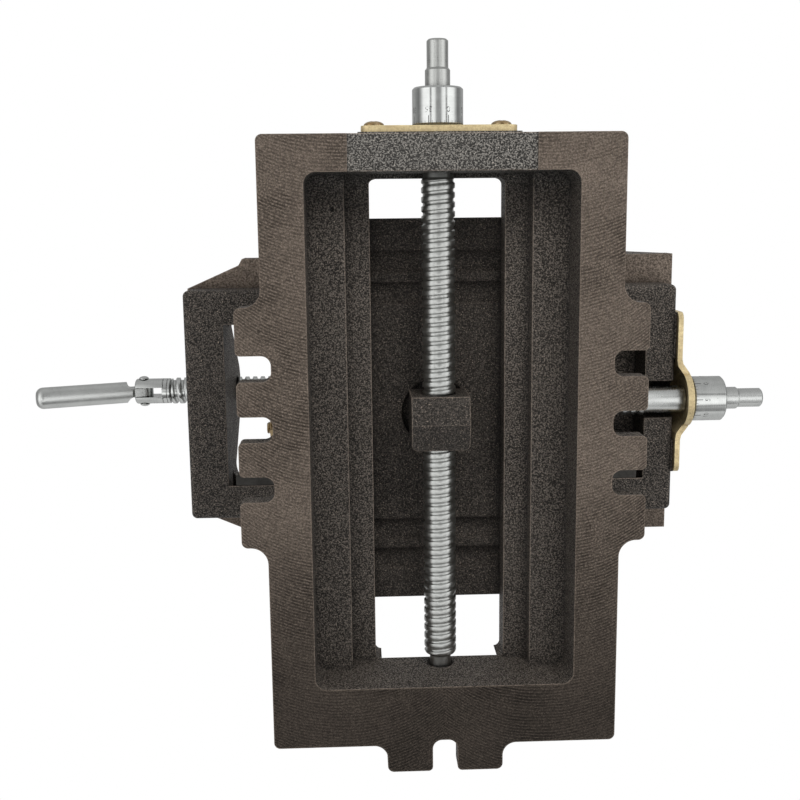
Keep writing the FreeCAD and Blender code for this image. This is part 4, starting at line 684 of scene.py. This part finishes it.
class VISE_OT_jaw_screw(bpy.types.Operator):
    """Build the jaw screw with its fork, and the rivet through it"""
    bl_idname = "vise.jaw_screw"
    bl_label = "Jaw screw"

    def execute(self, context):
        threads = context.scene.vise_thread
        depth, pitch = threads.jaw_depth / MM, threads.pitch / MM
        crest, collar, groove, neck, pilot, bevel = 7.5, 7.2, 6.7, 4.3, 6.0, 0.8
        root = crest - depth
        start, end = -147.0, 12.1
        base = start - 4.9
        screw = shell((0, REST_Y, JAW_Z), (1, 0, 0),
                      rows(64, (base, 0), (base, 2.5), (base + 0.4, collar), (base + 3.0, collar),
                           (base + 3.0, groove), (base + 3.5, groove), (base + 3.5, collar),
                           (start - 0.2, collar), (start, root)),
                      thread(64, start, end, crest, depth, pitch),
                      rows(64, (end, root), (end + 2.6, 4.9), (end + 2.6, neck), (end + 6.2, neck),
                           (end + 6.2, pilot - bevel), (end + 7.0, pilot), (end + 21.0, pilot),
                           (end + 21.8, pilot - bevel), (end + 21.8, 0)))
        make_piece("jaw_screw", [screw, self.cheek(-1), self.cheek(1)], "zinc_along_x", "vise_screw",
                   "zinc_steel", "vise_screw")
        low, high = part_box("hinge_pin")
        shank, head, rise = 2.0, 2.8, 1.5
        seat = (high.y - low.y) / 2 / MM - rise
        turns = np.linspace(0, math.pi / 2, 8)[1:]
        half = [(seat, shank), (seat, head)]
        half += [(seat + rise * math.sin(a), head * math.cos(a)) for a in turns]
        other = [(-s, r) for s, r in half[::-1]]
        rivet = shell((RIVET_X, REST_Y, JAW_Z), (0, 1, 0), rows(48, *other, *half))
        make_piece("hinge_rivet", [rivet], "zinc_handle", "vise_screw", "zinc_steel", "hinge_pin")
        return {"FINISHED"}

    def cheek(self, side):
        """One side of the fork: the segment of a circle beyond the slot, carried along X through (x, r)
        stations that shrink towards the bevelled end. Points y = max(r cos, slot / 2), z = r sin."""
        half_slot = 2.7
        angle = np.linspace(-math.pi / 2, math.pi / 2, 33)
        stations = np.array([(-166.9, 6.5), (-166.5, 7.0), (-165.9, 7.2), (-150.8, 7.2)])
        r = stations[:, 1:]
        reach = np.sqrt(r ** 2 - half_slot ** 2)
        arc_y = np.maximum(r * np.cos(angle), half_slot)
        arc_z = np.clip(r * np.sin(angle), -reach, reach)
        back = np.linspace(1, -1, 9)[1:-1] * reach
        y = np.hstack([arc_y, np.full_like(back, half_slot)]) * side + REST_Y
        z = np.hstack([arc_z, back]) + JAW_Z
        return loft(np.stack([np.broadcast_to(stations[:, :1], y.shape), y, z], -1))


class VISE_OT_handle(bpy.types.Operator):
    """Build the folding handle, with the tongue that the fork holds"""
    bl_idname = "vise.handle"
    bl_label = "Handle"

    def execute(self, context):
        make_piece("folding_handle", [self.bar()], "zinc_handle", "handle", "zinc_steel", "handle_bar")
        return {"FINISHED"}

    def bar(self):
        """Circle of radius R(t) held within |y| < w(t) and |z| < h(t) at each distance t from the hinge: h
        grows as sqrt(eye^2 - t^2) round the hinge, w leaves the tongue along a quarter circle cut by a
        milling tool, and R falls along a quarter circle at the far end."""
        eye, thick, tongue = 5.0, 6.0, 2.4
        eye_end, cut_start, cut_reach = 6.4, 6.8, 3.2
        end, nose = 55.8, 4.0
        t = np.concatenate([-eye * np.cos(np.linspace(0.02, math.pi / 2, 12)), np.linspace(1, eye_end, 4),
                            np.linspace(cut_start, cut_start + cut_reach + 0.2, 18), [20, 35, 50, end],
                            end + nose * np.sin(np.linspace(0.1, 1.52, 10))])[:, None]
        fall = np.sqrt(np.clip(nose ** 2 - (t - end) ** 2, 0, nose ** 2))
        radius = np.where(t > end, thick - nose + fall, thick)
        scoop = np.clip((t - cut_start) / cut_reach, 0, 1)
        wide = tongue + (thick - tongue) * (1 - np.sqrt(np.clip(1 - scoop ** 2, 0, 1)))
        tall = np.where(t < 0, np.sqrt(np.clip(eye ** 2 - t ** 2, 0.01, eye ** 2)),
                        np.clip(eye + (t - eye_end) * 0.9, eye, thick))
        angle = np.linspace(0, 2 * math.pi, 97)[:-1]
        y = np.clip(radius * np.cos(angle), -wide, wide)
        z = np.clip(radius * np.sin(angle), -tall, tall)
        tilt = math.radians(HANDLE_TILT)
        x = RIVET_X - t * math.cos(tilt) + z * math.sin(tilt)
        up = JAW_Z - t * math.sin(tilt) - z * math.cos(tilt)
        return loft(np.stack([x, y + REST_Y, up], -1))


class VISE_OT_dials(bpy.types.Operator):
    """Wrap graduation marks and plain numbers round the two collars, and add their set screws"""
    bl_idname = "vise.dials"
    bl_label = "Dials"

    def execute(self, context):
        dial = context.scene.vise_dial
        front, right = (0, -149.15, FEED_Z), (137.5, REST_Y, CROSS_Z)
        for name, body, collar, origin, direction, first in (
                ("front_dial_marks", "y_screw", "y_dial_collar", front, (0, -1, 0), 20.3),
                ("cross_dial_marks", "x_screw", "x_dial_collar", right, (1, 0, 0), -140.6)):
            low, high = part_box(collar)
            radius = (high.z - low.z) / 2 / MM
            first = math.radians(first)
            shells = [self.marks(dial, radius, first, origin, direction)]
            shells += self.numbers(dial, radius, first, origin, direction)
            make_piece(name, shells, "dial_ink", body, "black_oxide", sharp=20)
        for name, body, node, place in (
                ("front_dial_screw", "y_screw", "y_collar_screw", (0, -161.33)),
                ("cross_dial_screw", "x_screw", "x_collar_screw", (149.68, REST_Y))):
            low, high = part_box(node)
            tip, face = low.z / MM, high.z / MM
            point, crest, depth, pitch, socket = 0.6, 2.45, 0.4, 0.8, hexagon(36, 1.25)
            screw = shell((*place, 0), (0, 0, 1), rows(36, (tip, 0), (tip, 1.6), (tip + point, 2.0)),
                          thread(36, tip + point, face - 0.1, crest, depth, pitch),
                          rows(36, (face, crest - 0.5), (face, socket), (face - 2.2, socket),
                               (face - 2.8, 0)))
            make_piece(name, [screw], "black_steel", body, "black_oxide", node)
        return {"FINISHED"}

    def marks(self, dial, radius, first, origin, direction):
        """Every mark is a thin curved block: s from the margin to its length, angle = division / divisions
        of a turn plus or minus its half width, radius from a little inside the collar to just outside
        it."""
        margin, half_wide, half_thin, sunk, proud = 0.35, 0.17, 0.07, -0.3, 0.02
        order = np.arange(dial.divisions)
        long_mark = dial.mark / MM
        length = np.where(order % dial.numbered == 0, long_mark, 0.45 * long_mark)
        width = np.where(order % dial.numbered == 0, half_wide, half_thin)
        s = np.stack([np.full(len(order), margin), length], 1)[:, [0, 0, 1, 1, 0, 0, 1, 1]]
        side = np.array([-1, 1, 1, -1, -1, 1, 1, -1])
        angle = (first + order / dial.divisions * 2 * math.pi)[:, None] + side * (width / radius)[:, None]
        depth = np.broadcast_to(np.array([sunk] * 4 + [proud] * 4), s.shape)
        points = wrap(origin, direction, s, angle, radius + depth).reshape(-1, 3)
        block = np.array([[0, 3, 2, 1], [4, 5, 6, 7], [0, 1, 5, 4], [1, 2, 6, 5], [2, 3, 7, 6],
                          [3, 0, 4, 7]])
        return points, (np.arange(len(order))[:, None, None] * 8 + block).reshape(-1, 4)

    def numbers(self, dial, radius, first, origin, direction):
        """Plain numbers made a mesh, laid on the cylinder with their tops to the plate: text x becomes the
        angle -x / R, text y the distance -s, counted from the number's foot."""
        gap, cap, thick, sunk = 1.2, 0.72, 0.16, 0.14
        size = dial.number / MM
        foot = dial.mark / MM + gap + cap * size
        shells = []
        for number in range(0, dial.divisions, dial.numbered):
            curve = bpy.data.curves.new("number", "FONT")
            curve.body, curve.size, curve.extrude = str(number), size, thick
            curve.align_x, curve.resolution_u = "CENTER", 3
            holder = bpy.data.objects.new("number", curve)
            bpy.context.scene.collection.objects.link(holder)
            mesh = bpy.data.meshes.new_from_object(holder)
            flat = np.zeros(len(mesh.vertices) * 3, np.float32)
            mesh.vertices.foreach_get("co", flat)
            x, y, z = flat.reshape(-1, 3).astype(float).T
            faces = [polygon.vertices[:] for polygon in mesh.polygons]
            angle = first + number / dial.divisions * 2 * math.pi - x / radius
            points = wrap(origin, direction, foot - y, angle, radius + z - sunk)
            fans = [[f[0], f[k], f[k + 1], f[k + 1]] for f in faces for k in range(1, len(f) - 1)]
            shells.append((points, np.array(fans)))
            bpy.data.objects.remove(holder)
            bpy.data.meshes.remove(mesh)
        return shells


def domed_screw(seat, direction, head, rise, shank, length):
    """Cross-recess screw: a shank below s = 0 and a dome r = head cos a, s = rise (0.3 + 0.7 sin a) above
    it."""
    tilt = np.linspace(0, math.acos(0.6), 7)
    dome = [(rise * (0.3 + 0.7 * math.sin(a)), head * math.cos(a)) for a in tilt]
    mouth = cross(72, 0.52 * head, 0.3 * head)
    brim = rise * (0.3 + 0.7 * np.sqrt(1 - (mouth / head) ** 2))
    return shell(seat, direction,
                 rows(72, (-length, 0), (-length, 0.7 * shank), (0.3 * shank - length, shank), (0, shank),
                      (0, 0.96 * head), (0.12 * rise, head), *dome, (brim, mouth),
                      (0.45 * rise, 0.8 * mouth), (-0.1 * rise, 0.4 * mouth), (-0.15 * rise, 0)))


def sunk_screw(seat, direction, head, shank, length, socket):
    """Countersunk screw with a hexagon socket: the cone runs from r = head at s = 0 to r = shank."""
    inner = hexagon(72, socket / 2)
    return shell(seat, direction,
                 rows(72, (-length, 0), (-length, 0.75 * shank), (0.25 * shank - length, shank),
                      (shank - head - 0.4, shank), (-0.4, head), (0, head - 0.25), (0, 0.62 * head),
                      (0, inner + 0.25), (-0.25, inner), (-0.38 * head, inner), (-0.45 * head, 0)))


class VISE_OT_plate_screws(bpy.types.Operator):
    """Build the cross-recess screws of the retainer plates, the cross nut and the horseshoe plate"""
    bl_idname = "vise.plate_screws"
    bl_label = "Plate screws"

    def execute(self, context):
        large = {"head": 4.8, "rise": 2.9, "shank": 2.5, "length": 12.0}
        medium = {"head": 4.2, "rise": 2.8, "shank": 2.5, "length": 14.0}
        small = {"head": 3.8, "rise": 2.2, "shank": 2.0, "length": 13.0}
        for name, body, finish, node, direction, size, seats in (
                ("front_plate_screws", "base", "gold_zinc", "y_retainer_screws", (0, -1, 0), large,
                 [(-29.8, -148.85, FEED_Z), (29.8, -148.85, FEED_Z)]),
                ("cross_plate_screws", "vise_body", "gold_zinc", "x_retainer_screws", (1, 0, 0), large,
                 [(132.5, -48.5, 85.5), (132.5, 21.5, 85.5)]),
                ("cross_nut_screws", "saddle", "zinc_upright", "x_nut_screws", (0, 0, 1), medium,
                 [(-44.5, -20.5, 68), (-11.5, 0.5, 68)]),
                ("horseshoe_plate_screws", "movable_jaw", "zinc_upright", "horseshoe_screws", (-1, 0, 0),
                 small, [(15, -21, 126.5), (15, 1, 126.5)])):
            screws = [domed_screw(seat, direction, **size) for seat in seats]
            make_piece(name, screws, finish, body, "zinc_steel", node)
        return {"FINISHED"}


class VISE_OT_socket_screws(bpy.types.Operator):
    """Build the countersunk screws of the jaw plates and keeper, and the socket bolt of the front nut"""
    bl_idname = "vise.socket_screws"
    bl_label = "Socket screws"

    def execute(self, context):
        jaw = {"head": 5.95, "shank": 3.0, "length": 20.0, "socket": 4.0}
        keeper = {"head": 6.9, "shank": 4.0, "length": 18.0, "socket": 5.0}
        for name, body, node, direction, size, seats in (
                ("fixed_plate_screws", "vise_body", "fixed_jaw_screws", (-1, 0, 0), jaw,
                 [(92, -58, 131), (92, 38, 131)]),
                ("moving_plate_screws", "movable_jaw", "movable_jaw_screws", (1, 0, 0), jaw,
                 [(76, -58, 131), (76, 38, 131)]),
                ("keeper_plate_screws", "movable_jaw", "keeper_screws", (0, 0, -1), keeper,
                 [(43, -32, 93.4), (43, 12, 93.4)])):
            screws = [sunk_screw(seat, direction, **size) for seat in seats]
            make_piece(name, screws, "black_steel", body, "black_oxide", node)
        shank, head, rise, seat, socket = 4.0, 6.2, 5.0, 62, hexagon(72, 3.0)
        grip = head + 0.3 - 0.12 * (np.arange(73) % 2)
        bolt = shell((0, REST_Y, seat), (0, 0, 1),
                     rows(72, (-16.5, 0), (-16.5, shank - 0.8), (-15.8, shank), (0, shank), (0, head),
                          (0.3, grip), (rise - 0.7, grip), (rise, head - 0.4), (rise, 4.2), (rise, socket),
                          (1.6, socket), (0.9, 0)))
        make_piece("front_nut_bolt", [bolt], "zinc_upright", "saddle", "zinc_steel", "y_nut_bolt")
        return {"FINISHED"}


class VISE_OT_gib_hardware(bpy.types.Operator):
    """Build the threaded gib screws and their lock nuts"""
    bl_idname = "vise.gib_hardware"
    bl_label = "Gib hardware"

    def execute(self, context):
        pitch = context.scene.vise_thread.set_pitch / MM
        point, crest, depth, socket = 0.9, 2.94, 0.54, hexagon(36, 1.75)
        for axis, body, direction, tip, end, seat, places in (
                ("y", "saddle", (-1, 0, 0), 61.36, 84.6, 78.0, [(0, y, 43) for y in (-63, -5, 53)]),
                ("x", "vise_body", (0, 1, 0), 38.35, 57.6, 51.0,
                 [(x, 0, 84.3) for x in (-75.5, -23.5, 28.5, 80.5)])):
            screws = [shell(place, direction,
                            rows(36, (tip, 0), (tip, 1.6), (tip + point, crest - depth)),
                            thread(36, tip + point, end, crest, depth, pitch),
                            rows(36, (end, socket), (end - 2.6, socket), (end - 3.3, 0)))
                      for place in places]
            nuts = [self.nut(place, direction, seat) for place in places]
            for name, shells, node in (("_gib_set_screws", screws, "_gib_screws"),
                                       ("_gib_nuts", nuts, "_gib_lock_nuts")):
                make_piece(axis + name, shells, "gold_zinc", body, "yellow_zinc", axis + node)
        return {"FINISHED"}

    def nut(self, place, direction, seat):
        """Hexagon whose chamfer is a cone, so it meets each flat on the curve s = 0.55 (hexagon radius -
        apothem)."""
        apothem, thick, bevel, mouth, hole = 5.0, 5.0, 4.85, 3.4, 2.95
        side = hexagon(72, apothem)
        bend = 0.1 + 0.55 * (side - apothem)
        bore, top = (seat + 0.5, hole), seat + thick
        return shell(place, direction,
                     rows(72, bore, (seat, mouth), (seat, bevel), (seat + bend, side), (top - bend, side),
                          (top, bevel), (top, mouth), (top - 0.5, hole), bore))


class VISE_OT_stage(bpy.types.Operator):
    """Lay the floor and set lamps, room light and camera"""
    bl_idname = "vise.stage"
    bl_label = "Stage"

    def execute(self, context):
        scene, stage = context.scene, context.scene.vise_stage
        scene.view_settings.view_transform = "Standard"
        self.floor(scene, stage)
        self.room(scene, stage)
        self.surroundings(scene)
        for name, place, size, share in (("key_lamp", (0.16, -0.46, -0.34), 0.3, 1.0),
                                         ("fill_lamp", (-0.45, -0.4, -0.5), 0.5, 0.7),
                                         ("top_lamp", (0.45, -0.55, 0.95), 0.5, 2.0),
                                         ("back_lamp", (-0.6, 0.5, 0.85), 0.5, 1.2)):
            self.lamp(scene, name, place, size, stage.key * share)
        lens = bpy.data.cameras.new("camera")
        lens.lens, lens.sensor_width, lens.clip_start = stage.lens, 36.0, 0.01
        lens.dof.use_dof = False
        camera = bpy.data.objects.new("camera", lens)
        camera.location, camera.rotation_euler = stage.camera_place, stage.camera_turn
        scene.collection.objects.link(camera)
        scene.camera = camera
        return {"FINISHED"}

    def floor(self, scene, stage):
        """A wide square under the base, seen only by the camera and only from above."""
        reach, drop = 1.6, 0.4 * MM
        span = np.linspace(-reach, reach, 17)
        x, y = np.meshgrid(span, span)
        nodes, _ = new_material("floor_paint")
        cloud = nodes.noise(nodes.place(), 30.0, 3.0)
        tone = nodes.colour(cloud, shade(stage.floor, 0.98), shade(stage.floor, 1.02))
        paint = nodes.add("BsdfDiffuse", {"Color": tone}).outputs[0]
        back = nodes.add("NewGeometry").outputs["Backfacing"]
        clear = nodes.add("BsdfTransparent").outputs[0]
        mixed = nodes.add("MixShader", {0: back, 1: paint, 2: clear}).outputs[0]
        nodes.add("OutputMaterial", {"Surface": mixed})
        floor = self.sheet(scene, "floor", np.stack([x, y, np.full_like(x, -drop)], -1), "floor_paint",
                           "diffuse", "glossy", "transmission", "shadow")

    def surroundings(self, scene):
        """A wide globe round the vise that only shiny surfaces see, as they see a studio: its point is R
        (sin p cos a, sin p sin a, -cos p) at the polar angle p from straight down. Its tone follows p along
        X and, with the sign of Y, along Y, in (degrees, tone) stops, so that round bars show bands."""
        polar = np.radians(np.linspace(0, 180, 46))
        polar, turn = np.meshgrid(polar, turn_of(48) * 2 * math.pi, indexing="ij")
        reach, level = 2.5, np.sin(polar)
        points = reach * np.stack([level * np.cos(turn), level * np.sin(turn), -np.cos(polar)], -1)
        nodes, _ = new_material("studio_tones")
        unit = nodes.add("VectorMath", {0: nodes.place()}, operation="NORMALIZE").outputs[0]
        x, y, z = nodes.add("SeparateXYZ", {0: unit}).outputs
        down = nodes.math("DIVIDE", nodes.math("ARCCOSINE", nodes.times(z, -1.0)), math.pi)
        sided = nodes.math("MULTIPLY_ADD", nodes.times(down, nodes.math("SIGN", y)), 0.5, 0.5)
        across = nodes.tones(down, (0, 0.75), (7, 0.35), (13, 0.5), (19, 1.3), (32, 1.35), (35, 0.3),
                             (39, 0.4), (43, 1.4), (72, 1.25), (86, 0.5), (98, 0.2), (135, 0.4), (180, 0.36),
                             span=180)
        lengthways = nodes.tones(sided, (-180, 0.36), (-130, 0.4), (-98, 0.5), (-75, 0.36), (-30, 0.28),
                                 (0, 0.4), (12, 0.5), (17, 1.35), (27, 1.2), (33, 0.5), (44, 0.12),
                                 (50, 0.05), (63, 0.06), (70, 0.6), (110, 0.6), (180, 0.36), span=360,
                                 start=-180)
        square = [nodes.math("POWER", part, 2.0) for part in (x, y)]
        share = nodes.math("DIVIDE", square[0], nodes.math("ADD", nodes.math("ADD", *square), 1e-4))
        glow = nodes.add("Emission", {"Color": nodes.colour(share, lengthways, across)}).outputs[0]
        nodes.add("OutputMaterial", {"Surface": glow})
        globe = self.sheet(scene, "surroundings", points, "studio_tones",
                           "camera", "diffuse", "transmission", "shadow")

    def sheet(self, scene, name, points, finish, *hidden):
        """A piece of the stage over a grid of points in metres, hidden from the named kinds of ray."""
        mesh = bpy.data.meshes.new(name)
        mesh.from_pydata(points.reshape(-1, 3).tolist(), [], quads(*points.shape[:2]).tolist())
        mesh.materials.append(bpy.data.materials[finish])
        piece = bpy.data.objects.new(name, mesh)
        scene.collection.objects.link(piece)
        for ray in hidden:
            setattr(piece, "visible_" + ray, False)
        return piece

    def room(self, scene, stage):
        """White all round for what the camera and the metal see, softer for the light on matt surfaces."""
        world = bpy.data.worlds.new("room")
        world.use_nodes = True
        world.node_tree.nodes.clear()
        nodes = Nodes(world.node_tree)
        rays = nodes.add("LightPath").outputs
        seen = nodes.math("MAXIMUM", nodes.math("MAXIMUM", rays["Is Camera Ray"], rays["Is Glossy Ray"]),
                          rays["Is Transmission Ray"])
        soft = nodes.add("Background", {"Color": (1, 1, 1, 1), "Strength": stage.ambient}).outputs[0]
        white = nodes.add("Background", {"Color": (1, 1, 1, 1), "Strength": 1.0}).outputs[0]
        mixed = nodes.add("MixShader", {0: seen, 1: soft, 2: white}).outputs[0]
        nodes.add("OutputWorld", {"Surface": mixed})
        scene.world = world

    def lamp(self, scene, name, place, size, power):
        """A square area lamp that looks at the middle of the vise and isn't seen itself."""
        middle = Vector((0, 0, 0.06))
        data = bpy.data.lights.new(name, "AREA")
        data.energy, data.size = power, size
        lamp = bpy.data.objects.new(name, data)
        lamp.location = place
        lamp.rotation_euler = (middle - Vector(place)).to_track_quat("-Z", "Y").to_euler()
        lamp.visible_camera = lamp.visible_glossy = False
        scene.collection.objects.link(lamp)


class VISE_PT_panel(bpy.types.Panel):
    """Lists the vise's pieces and their settings"""
    bl_idname = "VISE_PT_panel"
    bl_label = "Cross Slide Vise"
    bl_space_type = "VIEW_3D"
    bl_region_type = "UI"
    bl_category = "Vise"

    def draw(self, context):
        for operator in OPERATORS:
            self.layout.operator(operator.bl_idname)
        for key in SETTINGS:
            box = self.layout.box()
            group = getattr(context.scene, key)
            for setting in group.bl_rna.properties:
                if setting.identifier not in ("name", "rna_type"):
                    box.prop(group, setting.identifier)


OPERATORS = (VISE_OT_castings, VISE_OT_plates, VISE_OT_feed_screws, VISE_OT_jaw_screw, VISE_OT_handle,
             VISE_OT_dials, VISE_OT_plate_screws, VISE_OT_socket_screws, VISE_OT_gib_hardware,
             VISE_OT_stage)
SETTINGS = {"vise_thread": ThreadSettings, "vise_dial": DialSettings, "vise_finish": FinishSettings,
            "vise_stage": StageSettings}


def register():
    """Registers the classes and gives the scene its settings."""
    for cls in (*SETTINGS.values(), *OPERATORS, VISE_PT_panel):
        bpy.utils.register_class(cls)
    for key, cls in SETTINGS.items():
        setattr(bpy.types.Scene, key, PointerProperty(type=cls))


def unregister():
    """Takes the settings and classes away again."""
    for key in SETTINGS:
        delattr(bpy.types.Scene, key)
    for cls in reversed((*SETTINGS.values(), *OPERATORS, VISE_PT_panel)):
        bpy.utils.unregister_class(cls)


def main():
    register()
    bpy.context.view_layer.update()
    for operator in OPERATORS:
        area, name = operator.bl_idname.split(".")
        getattr(getattr(bpy.ops, area), name)()


if __name__ == "__main__":
    main()
